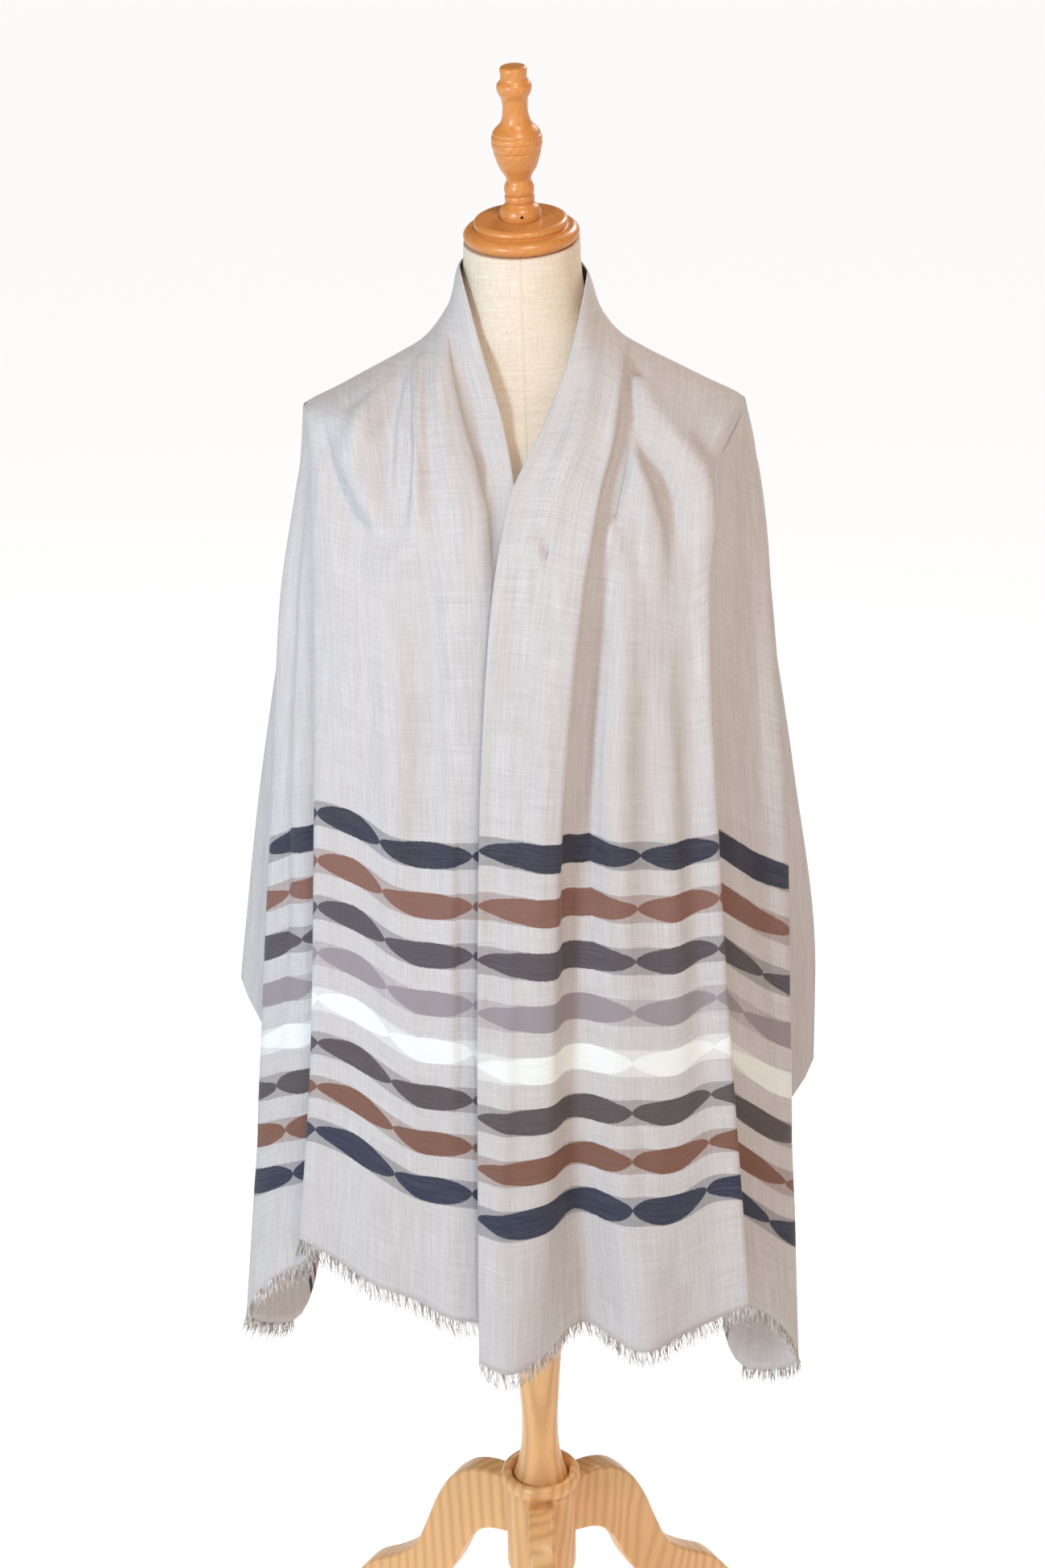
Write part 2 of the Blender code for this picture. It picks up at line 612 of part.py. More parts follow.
def sheet_grid():
    """The sheet's points by row, and its lines' column numbers."""
    nape = [(nape_column, share) for share in NAPE_SHARES]
    lines = half_lines(LEFT_FRONT, LEFT_SIDE) + nape + half_lines(RIGHT_FRONT, RIGHT_SIDE)[::-1]
    cells = half_cells(LEFT_FRONT, LEFT_SIDE) + [NAPE_CELLS] * (len(NAPE_SHARES) + 1)
    cells += half_cells(RIGHT_FRONT, RIGHT_SIDE)[::-1]
    starts = [sum(cells[:i]) for i in range(len(lines))]
    rows = []
    for row in range(ROWS + 1):
        share = (row / ROWS) ** ROW_POWER
        rows.append(curve_points([column(at, share) for column, at in lines], cells))
    lay_on_crest(rows[0], lines, starts)
    return rows, starts


def lay_on_crest(top_row, lines, starts):
    """Puts the top row's points on the one shoulder crest, the sides' at its tip."""
    crests = [at.crest if column is front_column else at if column is back_column else None
              for column, at in lines]
    for i in range(len(lines) - 1):
        here, after = crests[i], crests[i + 1]
        side = [lines[k] for k in (i, i + 1) if lines[k][0] is side_column]
        for column in range(starts[i], starts[i + 1] + 1):
            if side and column not in (starts[i], starts[i + 1]):
                x = math.copysign(TIP_X, side[0][1].hip[0])
            elif here is not None and after is not None and here * after > 0:
                x = here + (after - here) * (column - starts[i]) / (starts[i + 1] - starts[i])
            else:
                continue
            top_row[column] = Vector((x, 0.0, crest_height(x)))


def build_shawl(rows, finish, collection):
    """The sheet's quads, closed along the crest, thickened inwards."""
    width = len(rows[0])
    points = [p + Vector((0, AXIS_Y, 0)) for row in rows for p in row]
    faces = []
    for row in range(ROWS):
        for column in range(width - 1):
            a = row * width + column
            faces.append((a, a + 1, a + 1 + width, a + width))
    mesh = mesh_from("shawl", points, faces)
    shape = bmesh.new()
    shape.from_mesh(mesh)
    bmesh.ops.remove_doubles(shape, verts=shape.verts, dist=0.00002)
    shape.to_mesh(mesh)
    shape.free()
    shawl = place("shawl", mesh, finish, collection, 80)
    wall = shawl.modifiers.new("Solidify", "SOLIDIFY")
    wall.thickness = CLOTH_WALL
    wall.offset = -1
    return shawl


# ---------------------------------------------------------------- the fringe
Root = namedtuple("Root", "outer inner run down")


def rim_points(rows):
    """The hem's outer points, inner points and the cloth's way down at each."""
    hem, above = rows[-1], rows[-2]
    downs = [(p - q).normalized() for p, q in zip(hem, above)]
    faces = [(b - a).cross(down).normalized() for a, b, down in zip(hem, hem[1:], downs)]
    inner = []
    for i, point in enumerate(hem):
        normal = faces[max(i - 1, 0)] + faces[min(i, len(faces) - 1)]
        inner.append(point - normal.normalized() * CLOTH_WALL)
    return hem, inner, downs


def fringe_roots(rows, first, last):
    """Places about one strand apart along the hem from one column to another."""
    hem, inner, downs = (part[first:last + 1] for part in rim_points(rows))
    roots = []
    for i in range(len(hem) - 1):
        run = hem[i + 1] - hem[i]
        count = max(1, round(run.length / STRAND_PITCH))
        for step in range(count):
            t = step / count
            down = downs[i].lerp(downs[i + 1], t).normalized()
            outer = hem[i].lerp(hem[i + 1], t)
            roots.append(Root(outer, inner[i].lerp(inner[i + 1], t), run.normalized(), down))
    roots.append(Root(hem[-1], inner[-1], roots[-1].run, downs[-1]))
    return roots


def clear_of_turns(roots, i):
    """Whether a strand grown between roots i and i + 1 keeps off a sharp turn."""
    around = [roots[k].run for k in range(max(i - 1, 0), min(i + 2, len(roots)))]
    return all(a.dot(b) > TURN_LIMIT for a, b in zip(around, around[1:]))


def build_fringe(name, rows, first, last, finish, collection):
    """A narrow strip under the hem with a tapered strand on each cell."""
    roots = fringe_roots(rows, first, last)
    shift = Vector((0, AXIS_Y, 0))
    points = []
    for i, root in enumerate(roots):
        run = (roots[min(i + 1, len(roots) - 1)].outer - roots[max(i - 1, 0)].outer).normalized()
        away = (root.outer - root.inner).cross(run).normalized()
        away = away if away.dot(root.down) > 0 else -away
        for edge in (root.outer, root.inner):
            points.append(edge + away * HEM_GAP + shift)
            points.append(edge + away * (HEM_GAP + FRINGE_STRIP) + shift)
    faces = [(0, 2, 3, 1)]
    cells, growing = [], []
    for i in range(len(roots) - 1):
        a, b = i * 4, (i + 1) * 4
        faces += [(a, a + 1, b + 1, b), (a + 2, b + 2, b + 3, a + 3), (a, b, b + 2, a + 2)]
        if clear_of_turns(roots, i):
            cells.append(len(faces))
            growing.append(i)
        faces.append((a + 1, a + 3, b + 3, b + 1))
    end = (len(roots) - 1) * 4
    faces.append((end, end + 1, end + 3, end + 2))
    mesh = mesh_from(name, points, faces)
    shape = bmesh.new()
    shape.from_mesh(mesh)
    shape.faces.ensure_lookup_table()
    grown = bmesh.ops.extrude_discrete_faces(shape, faces=[shape.faces[k] for k in cells])["faces"]
    for i, face in zip(growing, grown):
        sway = 0.10 * math.sin(i * 0.9) + 0.08 * math.sin(i * 2.3 + 1.0)
        length = STRAND_LENGTH * (1.0 + 0.18 * math.sin(i * 1.7))
        middle = face.calc_center_median()
        tip = middle + (roots[i].down + roots[i].run * sway).normalized() * length
        for corner in face.verts:
            corner.co = tip + (corner.co - middle) * STRAND_TIP
    bmesh.ops.recalc_face_normals(shape, faces=shape.faces)
    shape.to_mesh(mesh)
    shape.free()
    return place(name, mesh, finish, collection)


# ---------------------------------------------------------------- the object
def main():
    clear_scene()
    collection = bpy.data.collections.new("modal_shawl_on_dress_form")
    bpy.context.scene.collection.children.link(collection)
    cloth = material("silver_grey_cloth", (0.62, 0.60, 0.60), 0.80, 0.3)
    linen = material("cream_linen", (0.80, 0.75, 0.66), 0.90)
    honey = material("honey_varnish", (0.66, 0.31, 0.10), 0.32)
    pale = material("pale_wood", (0.72, 0.45, 0.21), 0.38)
    build_form(linen, collection)
    build_head(honey, collection)
    build_post(pale, collection)
    cutters = bpy.data.collections.new("cutters")
    bpy.context.scene.collection.children.link(cutters)
    build_legs(pale, collection, cutters)
    rows, starts = sheet_grid()
    build_shawl(rows, cloth, collection)
    to_corner = len(LEFT_FRONT) + 3
    build_fringe("fringe_left", rows, 0, starts[to_corner], cloth, collection)
    build_fringe("fringe_right", rows, starts[-1 - to_corner], starts[-1], cloth, collection)


main()
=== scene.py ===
# %% [markdown]
# # A modal shawl on a dress form
# The finished object is a light grey shawl with woven bands, laid over a linen dress form on a
# turned stand. The imported model is loaded first, because every piece made here has to sit where
# that model says.

# %% Load the imported model
import math
from collections import namedtuple

import bmesh
import bpy
import numpy as np
from mathutils import Matrix, Vector


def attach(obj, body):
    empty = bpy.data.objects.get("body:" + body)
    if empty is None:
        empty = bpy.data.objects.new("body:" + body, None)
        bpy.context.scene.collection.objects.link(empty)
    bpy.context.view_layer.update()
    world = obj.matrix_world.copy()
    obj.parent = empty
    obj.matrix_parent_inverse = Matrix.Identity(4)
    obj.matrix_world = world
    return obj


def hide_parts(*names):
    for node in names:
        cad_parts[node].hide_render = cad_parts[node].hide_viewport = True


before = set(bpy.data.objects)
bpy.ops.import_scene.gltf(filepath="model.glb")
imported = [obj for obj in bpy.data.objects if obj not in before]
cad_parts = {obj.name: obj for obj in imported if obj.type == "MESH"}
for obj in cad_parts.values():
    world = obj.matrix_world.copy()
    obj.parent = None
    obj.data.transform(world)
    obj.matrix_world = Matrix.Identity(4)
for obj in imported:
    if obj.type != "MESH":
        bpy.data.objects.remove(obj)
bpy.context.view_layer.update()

print("nodes:", sorted(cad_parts))

# %% [markdown]
# ## Sizes that several pieces share
# The pole stands a little behind the middle of the whole object, so most pieces are made round
# that axis. The neck of the form leans forwards, and the cap and finial lean with it. Outlines
# and lines of cloth are long lists of numbers, so they are written as plain text tables in
# tenths of a millimetre, with a comma or a new line after each row.

# %% Shared sizes
AXIS_Y = 0.0741
PART_GAP = 0.0003
NECK_TOP, HEAD_FROM = 1.464, 1.405
HEAD_TURN = Matrix.Rotation(math.radians(13.0), 4, "X") @ Matrix.Rotation(math.radians(-2.0), 4, "Y")
LATHE_SIDES = 64


def table(text, unit=10000):
    """The rows of a text table, each number divided by the unit."""
    rows = [row.split() for row in text.replace(",", "\n").splitlines()]
    return [tuple(int(v) / unit for v in row) for row in rows if row]


def pairs(values):
    return tuple(zip(values[::2], values[1::2]))


def link(name, data):
    """A new object in the scene that shows this data."""
    made = bpy.data.objects.new(name, data)
    bpy.context.scene.collection.objects.link(made)
    return made


def eased(t):
    return t * t * (3 - 2 * t)


def ramp(at, start, full):
    """0 at start, 1 at full, with a soft change between."""
    return eased(min(max((at - start) / (full - start), 0.0), 1.0))


def gaps_between(keys):
    return [max((b - a).length, 1e-6) for a, b in zip(keys, keys[1:])]


def curve_points(keys, cells, gaps=None):
    """Points of a smooth curve through keys, cells[i] steps in span i."""
    gaps = gaps or gaps_between(keys)
    tangents = [(keys[1] - keys[0]) / gaps[0]]
    for i in range(1, len(keys) - 1):
        before = (keys[i] - keys[i - 1]) / gaps[i - 1]
        after = (keys[i + 1] - keys[i]) / gaps[i]
        tangents.append((before * gaps[i] + after * gaps[i - 1]) / (gaps[i] + gaps[i - 1]))
    tangents.append((keys[-1] - keys[-2]) / gaps[-1])
    points = []
    for i, count in enumerate(cells):
        for step in range(count):
            t = step / count
            start = tangents[i] * (gaps[i] * (t ** 3 - 2 * t * t + t))
            end = tangents[i + 1] * (gaps[i] * (t ** 3 - t * t))
            points.append(keys[i].lerp(keys[i + 1], eased(t)) + start + end)
    points.append(keys[-1].copy())
    return points


def report(piece):
    """Prints what a piece came to, so that each cell shows its result."""
    low = [round(min(v.co[k] for v in piece.data.vertices), 4) for k in range(3)]
    high = [round(max(v.co[k] for v in piece.data.vertices), 4) for k in range(3)]
    print(piece.name, len(piece.data.polygons), "faces, from", low, "to", high)


# %% [markdown]
# ## The camera
# The picture was taken from the front, a little above the neck, looking down by about twenty
# degrees. The lens follows from how fast the stand shrinks towards the floor.

# %% Camera
LOOKS_DOWN, TILTS, CAMERA_SPOT = 19.9, 0.95, (-0.0065, -1.7989, 1.686)
camera_data = bpy.data.cameras.new("camera")
camera_data.sensor_fit = "VERTICAL"
camera_data.sensor_height = 36.0
camera_data.lens = 53.54
camera = link("camera", camera_data)
camera_turn = (Matrix.Rotation(math.radians(90 - LOOKS_DOWN), 4, "X")
               @ Matrix.Rotation(math.radians(-TILTS), 4, "Z"))
camera.matrix_world = Matrix.Translation(CAMERA_SPOT) @ camera_turn
bpy.context.scene.camera = camera
print("camera at", tuple(round(v, 3) for v in camera.location))

# %% [markdown]
# ## Turned pieces
# The finial, cap, pole, ring and hub are all turned on a lathe. A lathe shape can be spun from an
# outline, or built up from rings: a disc is laid at the top, then extruded down and resized for
# each row of the outline. Rings are used here, because each row is one line of a short table.

# %% A helper that stacks rings
Turning = namedtuple("Turning", "radius height")


def deselect():
    bpy.ops.object.select_all(action="DESELECT")


def select(piece):
    deselect()
    piece.select_set(True)
    bpy.context.view_layer.objects.active = piece


def smooth_outline(rows, steps):
    """More rows on a smooth curve through the outline's rows."""
    keys = [Vector((row.radius, row.height, 0)) for row in rows]
    return [Turning(p.x, p.y) for p in curve_points(keys, [steps] * (len(keys) - 1))]


def stack_rings(name, rows, sides=LATHE_SIDES, axis_y=0.0):
    """A disc at the first row, extruded and resized to each row below it."""
    deselect()
    bpy.ops.mesh.primitive_circle_add(vertices=sides, radius=rows[0].radius, fill_type="NGON",
                                      location=(0, axis_y, rows[0].height))
    piece = bpy.context.object
    piece.name = name
    bpy.ops.object.mode_set(mode="EDIT")
    for above, below in zip(rows, rows[1:]):
        bpy.ops.mesh.extrude_region_move(
            TRANSFORM_OT_translate={"value": (0, 0, below.height - above.height)})
        share = below.radius / above.radius
        bpy.ops.transform.resize(value=(share, share, 1))
    bpy.ops.mesh.select_all(action="SELECT")
    bpy.ops.mesh.normals_make_consistent(inside=False)
    bpy.ops.object.mode_set(mode="OBJECT")
    return piece


def settle(piece, matrix=Matrix()):
    """Puts a piece in its place and leaves its object at the origin, unturned."""
    select(piece)
    piece.matrix_world = matrix @ piece.matrix_world
    bpy.ops.object.transform_apply(location=True, rotation=True, scale=True)


def smooth(piece, degrees):
    select(piece)
    bpy.ops.object.shade_smooth_by_angle(angle=math.radians(degrees))


def apply_all(piece):
    select(piece)
    for modifier in list(piece.modifiers):
        bpy.ops.object.modifier_apply(modifier=modifier.name)


def cut_away(piece, tool):
    """Cuts the tool's shape out of the piece and throws the tool away."""
    cut = piece.modifiers.new("Boolean", "BOOLEAN")
    cut.operation, cut.solver, cut.object = "DIFFERENCE", "EXACT", tool
    apply_all(piece)
    bpy.data.objects.remove(tool, do_unlink=True)


def stand_for(piece, node):
    """The piece rides on the part, in place of the plain solid."""
    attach(piece, "root")
    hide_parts(node)
    report(piece)


# %% [markdown]
# ## The finial and the neck cap
# The finial is a slim baluster with a bead at its foot, thin scored lines and one small screw
# hole. It stands on a stepped disc that closes the form's neck. Both take the lean of the neck,
# so one matrix moves them together.

# %% Finial and cap
CAP_RADIUS, CAP_STEP_RADIUS = 0.0460, 0.0375
CAP_LOWER, CAP_UPPER = 0.0115, 0.0065
CAP_TOP = CAP_LOWER + CAP_UPPER
SCREW_HOLE, SCREW_SPOT = 0.0013, (0.0012, -0.0160, 0.0046)
FINIAL = [Turning(*row) for row in table("""
    30 1174, 92 1172, 101 1164, 103 1120, 104 1080, 112 1066, 132 1042, 136 1015, 126 975, 103 932,
    99 900, 103 800, 122 745, 172 692, 187 667, 184 658, 192 650, 198 628, 198 614, 194 608,
    197 602, 193 560, 189 546, 184 540, 185 532, 172 475, 146 400, 104 330, 95 300, 112 262,
    118 225, 110 190, 107 186, 112 180, 118 155, 112 128, 109 122, 114 114, 146 85, 164 45, 162 0""")]
CAP = [Turning(r, h) for r, h in (
    (CAP_STEP_RADIUS - 0.0060, CAP_TOP), (CAP_STEP_RADIUS - 0.0035, CAP_TOP),
    (CAP_STEP_RADIUS - 0.0008, CAP_TOP - 0.0015), (CAP_STEP_RADIUS, CAP_TOP - 0.0036),
    (CAP_STEP_RADIUS - 0.0008, CAP_LOWER + 0.0004), (CAP_STEP_RADIUS + 0.0040, CAP_LOWER - 0.0004),
    (CAP_RADIUS - 0.0022, CAP_LOWER - 0.0018), (CAP_RADIUS, CAP_LOWER * 0.55),
    (CAP_RADIUS - 0.0012, 0.0022), (CAP_RADIUS - 0.0040, 0.0))]


def on_neck(height):
    """Stands a piece on the neck's top, this far above it along the lean."""
    return Matrix.Translation((0, AXIS_Y, NECK_TOP)) @ HEAD_TURN @ Matrix.Translation((0, 0, height))


cap = stack_rings("turned_cap", smooth_outline(CAP, 3))
settle(cap, on_neck(PART_GAP))
smooth(cap, 50)
stand_for(cap, "neck_cap")
finial = stack_rings("turned_finial", smooth_outline(FINIAL, 3))
bpy.ops.mesh.primitive_cylinder_add(vertices=20, radius=SCREW_HOLE, depth=0.010,
                                    rotation=(math.pi / 2, 0, 0), location=SCREW_SPOT)
cut_away(finial, bpy.context.object)
settle(finial, on_neck(CAP_TOP + 2 * PART_GAP))
smooth(finial, 60)
stand_for(finial, "finial")

# %% [markdown]
# ## The pole, ring and hub
# The pole swells in the middle and flares where it meets the hub. A round-edged ring lies over
# the joint, and the hub below it takes the three legs. The ring starts as a torus primitive, and
# its tube is flattened a little, which is quicker than building its hollow from rings.

# %% Pole, ring and hub
HUB_TOP, HUB_BOTTOM, HUB_RADIUS, HUB_ROUND = 0.2985, 0.1960, 0.0330, 0.0140
RING_RADIUS, RING_BORE, RING_HEIGHT = 0.0378, 0.0268, 0.0150
POLE = [Turning(*row) for row in table("""
    160 7597, 200 7560, 200 7500, 165 7460, 170 7000, 200 6200, 238 5350, 222 4600, 185 4000,
    170 3660, 184 3380, 222 3180, 262 3060, 262 2988""")]
pole = stack_rings("turned_pole", smooth_outline(POLE, 6), axis_y=AXIS_Y)
settle(pole)
smooth(pole, 60)
stand_for(pole, "pole")

hub_rows = [Turning(HUB_RADIUS - 0.0015, HUB_TOP), Turning(HUB_RADIUS - 0.0004, HUB_TOP - 0.0004),
            Turning(HUB_RADIUS, HUB_TOP - 0.0015)]
for step in range(13):
    angle = math.radians(90 * step / 12)
    hub_rows.append(Turning(HUB_RADIUS - HUB_ROUND * (1 - math.cos(angle)),
                            HUB_BOTTOM + HUB_ROUND * (1 - math.sin(angle))))
hub = stack_rings("turned_hub", hub_rows, axis_y=AXIS_Y)
settle(hub)
smooth(hub, 50)
stand_for(hub, "hub")

ring_middle = HUB_TOP + PART_GAP + RING_HEIGHT / 2
deselect()
bpy.ops.mesh.primitive_torus_add(location=(0, AXIS_Y, ring_middle), major_segments=LATHE_SIDES,
                                 minor_segments=20, major_radius=(RING_RADIUS + RING_BORE) / 2,
                                 minor_radius=(RING_RADIUS - RING_BORE) / 2)
ring = bpy.context.object
ring.name = "turned_ring"
ring.scale = (1, 1, RING_HEIGHT / (RING_RADIUS - RING_BORE))
settle(ring)
smooth(ring, 80)
stand_for(ring, "ring")

# %% [markdown]
# ## The legs
# Each leg is sawn from a board to a long S and its edges are rounded. A flat curve drawn along
# the outline gives the board in one step. Bevel rounds it, a drum cut scribes its root to the hub,
# and the first leg is copied and turned for the other two.

# %% Legs
LEG_HALF, LEG_ROUND = 0.0125, 0.0035
LEG_TOP = table("""
    240 2955, 540 2985, 750 2930, 950 2765, 1110 2500, 1260 2120, 1410 1800, 1650 1590, 1930 1410,
    2170 1120, 2420 720, 2720 390, 3030 240, 3160 120""")
LEG_FOOT = table("""
    3130 0, 2720 0""")
LEG_UNDER = table("""
    2450 190, 2100 590, 1740 980, 1380 1230, 1090 1490, 910 1780, 780 2060, 600 2280, 240 2365""")


def board_line(rows, steps):
    keys = [Vector((reach, height, 0)) for reach, height in rows]
    return curve_points(keys, [steps] * (len(keys) - 1))


def sawn_leg(name):
    """The leg's board, filled from its outline and stood up under +X."""
    outline = board_line(LEG_TOP, 4) + board_line(LEG_FOOT, 1) + board_line(LEG_UNDER, 4)
    drawn = bpy.data.curves.new(name, "CURVE")
    drawn.dimensions = "2D"
    drawn.fill_mode = "BOTH"
    drawn.extrude = LEG_HALF
    line = drawn.splines.new("POLY")
    line.points.add(len(outline) - 1)
    for knot, spot in zip(line.points, outline):
        knot.co = (spot.x, spot.y, 0.0, 1.0)
    line.use_cyclic_u = True
    select(link(name, drawn))
    bpy.ops.object.convert(target="MESH")
    leg = bpy.context.object
    bpy.ops.object.mode_set(mode="EDIT")
    bpy.ops.mesh.select_all(action="SELECT")
    bpy.ops.mesh.remove_doubles(threshold=0.00001)
    bpy.ops.mesh.dissolve_limited(angle_limit=math.radians(1))
    bpy.ops.mesh.normals_make_consistent(inside=False)
    bpy.ops.object.mode_set(mode="OBJECT")
    settle(leg, Matrix.Rotation(math.radians(90), 4, "X"))
    return leg


first_leg = sawn_leg("sawn_leg_front")
rounding = first_leg.modifiers.new("Bevel", "BEVEL")
rounding.width = LEG_ROUND
rounding.segments = 4
rounding.limit_method = "ANGLE"
rounding.angle_limit = math.radians(60)
apply_all(first_leg)
deselect()
bpy.ops.mesh.primitive_cylinder_add(vertices=96, radius=HUB_RADIUS + PART_GAP, depth=0.3,
                                    location=(0, 0, HUB_TOP))
cut_away(first_leg, bpy.context.object)
legs = [first_leg] + [link(name, first_leg.data.copy()) for name in ("sawn_leg_right", "sawn_leg_left")]
for number, leg in enumerate(legs):
    turn = Matrix.Rotation(math.radians(120 * number - 90), 4, "Z")
    settle(leg, Matrix.Translation((0, AXIS_Y, 0)) @ turn)
    smooth(leg, 40)
    stand_for(leg, "leg_%d" % (number + 1))

# %% [markdown]
# ## The dress form
# The form is a padded body without arms or legs, covered in linen. It is built from rings like
# the turned pieces, but each ring is an ellipse that is deeper in front than behind, and the neck
# leans. The table gives each ring's height, half width, depth in front and depth behind.

# %% Dress form
FORM = table("""
    14640 460 450 445,  14400 472 460 455,  14250 496 474 464,
    14100 540 494 485,  13980 640 526 514,  13835 796 530 530,
    13625 1190 590 570,  13430 1566 685 640,  13290 1710 800 700,
    13000 1770 920 770,  12500 1760 1060 850,  11800 1640 1150 870,
    11000 1360 1060 790,  10200 1180 900 730,  9400 1300 920 850,
    8600 1520 990 980,  8000 1600 1020 1020,  7600 1570 1000 1000""")
FormRing = namedtuple("FormRing", "radius height front back")


def form_rings(steps):
    """Rings between the table's rings, on smooth curves down the body."""
    z = [row[0] for row in FORM]
    parts = []
    for k in (1, 2, 3):
        keys = [Vector((height, row[k], 0)) for height, row in zip(z, FORM)]
        parts.append(curve_points(keys, [steps] * (len(keys) - 1)))
    return [FormRing(a.y, a.x, b.y, c.y) for a, b, c in zip(*parts)]


rings = form_rings(4)
form = stack_rings("linen_form", rings, sides=96, axis_y=AXIS_Y)
settle(form)
neck_face = HEAD_TURN.to_3x3() @ Vector((0, 0, 1))
for corner in form.data.vertices:
    level = min(rings, key=lambda made: abs(made.height - corner.co.z))
    depth = level.front if corner.co.y < AXIS_Y else level.back
    y = (corner.co.y - AXIS_Y) * depth / level.radius
    drop = (neck_face.x * corner.co.x + neck_face.y * y) / neck_face.z
    corner.co.y = AXIS_Y + y
    corner.co.z -= ramp(level.height, HEAD_FROM, NECK_TOP) * drop
smooth(form, 50)
stand_for(form, "form_torso")

# %% [markdown]
# ## The shawl
# The shawl is one long rectangle of cloth. It goes over the left front, round the left shoulder
# and the back, and ends in a folded band on the right front. It is modelled as one thin sheet: a
# set of key lines runs from the shoulder to the hem, each line is a short table row, and smooth
# curves across the lines give the level sections. Drawing the drape keeps the real
# outline, which a cloth simulation on this form would lose.

# %% The plain drape
ClothSection = namedtuple("ClothSection", "z half front back")
CLOTH = [ClothSection(*row) for row in table("""
    4000 2740 1410 1310
    6000 2560 1380 1280
    8000 2380 1345 1220
    10000 2180 1310 1130
    11800 2010 1255 1020
    12500 1930 1180 970
    13000 1860 1040 890
    13350 1785 880 800
    13450 1600 825 765
    13650 1210 725 705
    13870 810 640 650
    14000 690 600 620
    14200 570 555 580
    14460 505 505 540""")]
CREST_POWER, BACK_POWER, BACK_SPREAD, BACK_EXTRA = 2.2, 2.3, 1.24, 0.050
LIFTS_FROM = 0.035      # the depth of the drape at which lifts and flutes count in full
NAPE_ROLL, NAPE_ROLL_Z, NAPE_ROLL_WIDTH = 0.006, 1.414, 0.012
NECK_Z, CHEST_Z, BREAST_Z, BUST_Z, WAIST_Z, HIP_Z, SHOULDER_Z = 1.38, 1.33, 1.28, 1.18, 1.00, 0.80, 1.30
TIP_X = 0.1785


def along(knots, values, at):
    """Smooth value at a place between rising knots, held at both ends."""
    if at <= knots[0]:
        return values[0]
    if at >= knots[-1]:
        return values[-1]
    i = max(k for k in range(len(knots) - 1) if knots[k] <= at)
    steps = [(b - a) / (q - p) for p, q, a, b in zip(knots, knots[1:], values, values[1:])]

    def tangent(k):
        if k in (0, len(knots) - 1):
            return steps[min(k, len(steps) - 1)]
        before, after = steps[k - 1], steps[k]
        return 2 * before * after / (before + after) if before * after > 0 else 0.0
    width = knots[i + 1] - knots[i]
    t = (at - knots[i]) / width
    pull = tangent(i) * (t ** 3 - 2 * t * t + t) + tangent(i + 1) * (t ** 3 - t * t)
    return values[i] + (values[i + 1] - values[i]) * t * t * (3 - 2 * t) + width * pull


def section_at(z):
    levels = [row.z for row in CLOTH]
    return tuple(along(levels, [row[k] for row in CLOTH], z) for k in (1, 2, 3))


def crest_height(x):
    """Height of the shoulder's crest over x: where the section is that wide."""
    low, high = SHOULDER_Z, CLOTH[-1].z
    for _ in range(40):
        middle = (low + high) / 2
        if section_at(middle)[0] > abs(x):
            low = middle
        else:
            high = middle
    return (low + high) / 2


# %% [markdown]
# ### The key lines
# Each front line gives its number of cells, its x at eight levels from the crest to the hem and
# the height of the hem, then in millimetres how far it stands proud of the plain drape. Each side
# line gives its cells, x and y at five levels and the height of its foot. The lines run from the
# front's inner edge, over its panel to the turn at the side, and on through tuck, side, brim,
# corner, valley and flare. The back follows the front's lines over the shoulder, so the back needs
# no table of its own, only its hem and flutes.

# %% Key lines
FrontLine = namedtuple("FrontLine", "cells crest neck chest breast bust waist hip hem foot lifts")
SideLine = namedtuple("SideLine", "cells shoulder bust waist hip foot foot_z")


def front_lines(text):
    rows = table(text, 1)
    return [FrontLine(int(row[0]), *[v / 10000 for v in row[1:10]], row[10:]) for row in rows]


def side_lines(text):
    rows = table(text, 1)
    return [SideLine(int(row[0]), *pairs([v / 10000 for v in row[1:11]]), row[11] / 10000) for row in rows]


LEFT_FRONT = front_lines("""
    3 -500 -300 -155 -80 -40 -60 -120 -180 5520 0 0 0 0 0
    1 -600 -560 -435 -285 -250 -310 -370 -450 5570 0 0 0 0 0
    2 -625 -580 -460 -310 -280 -340 -400 -480 5600 5 4 1 0 0
    2 -800 -830 -820 -780 -700 -630 -660 -740 5670 5 5 3 2 3
    2 -1000 -1000 -980 -950 -930 -940 -990 -1070 5800 0 0 0 -1 -3
    2 -1280 -1280 -1240 -1190 -1190 -1220 -1300 -1420 5940 0 2 2 2 3
    2 -1530 -1530 -1490 -1450 -1460 -1510 -1610 -1770 6100 0 1 0 0 0
    2 -1735 -1735 -1720 -1690 -1700 -1785 -1900 -2080 6220 0 0 4 6 6""")
RIGHT_FRONT = front_lines("""
    3 520 340 115 -140 -310 -425 -480 -525 5290 1 8 12 13 10
    3 640 570 430 230 50 -100 -175 -260 5220 6 10 13 14 16
    1 730 775 700 560 400 235 150 -20 5270 8 11 12 11 3
    2 765 805 720 570 400 240 260 370 5340 0 0 0 -6 -46
    2 980 980 940 860 800 780 830 950 5280 0 3 2 1 1
    2 1240 1240 1170 1080 1060 1090 1170 1300 5380 0 0 0 0 -6
    2 1480 1480 1400 1260 1250 1320 1440 1600 5490 0 1 1 1 -3
    2 1760 1760 1700 1450 1440 1520 1655 1850 5600 0 3 6 8 8""")
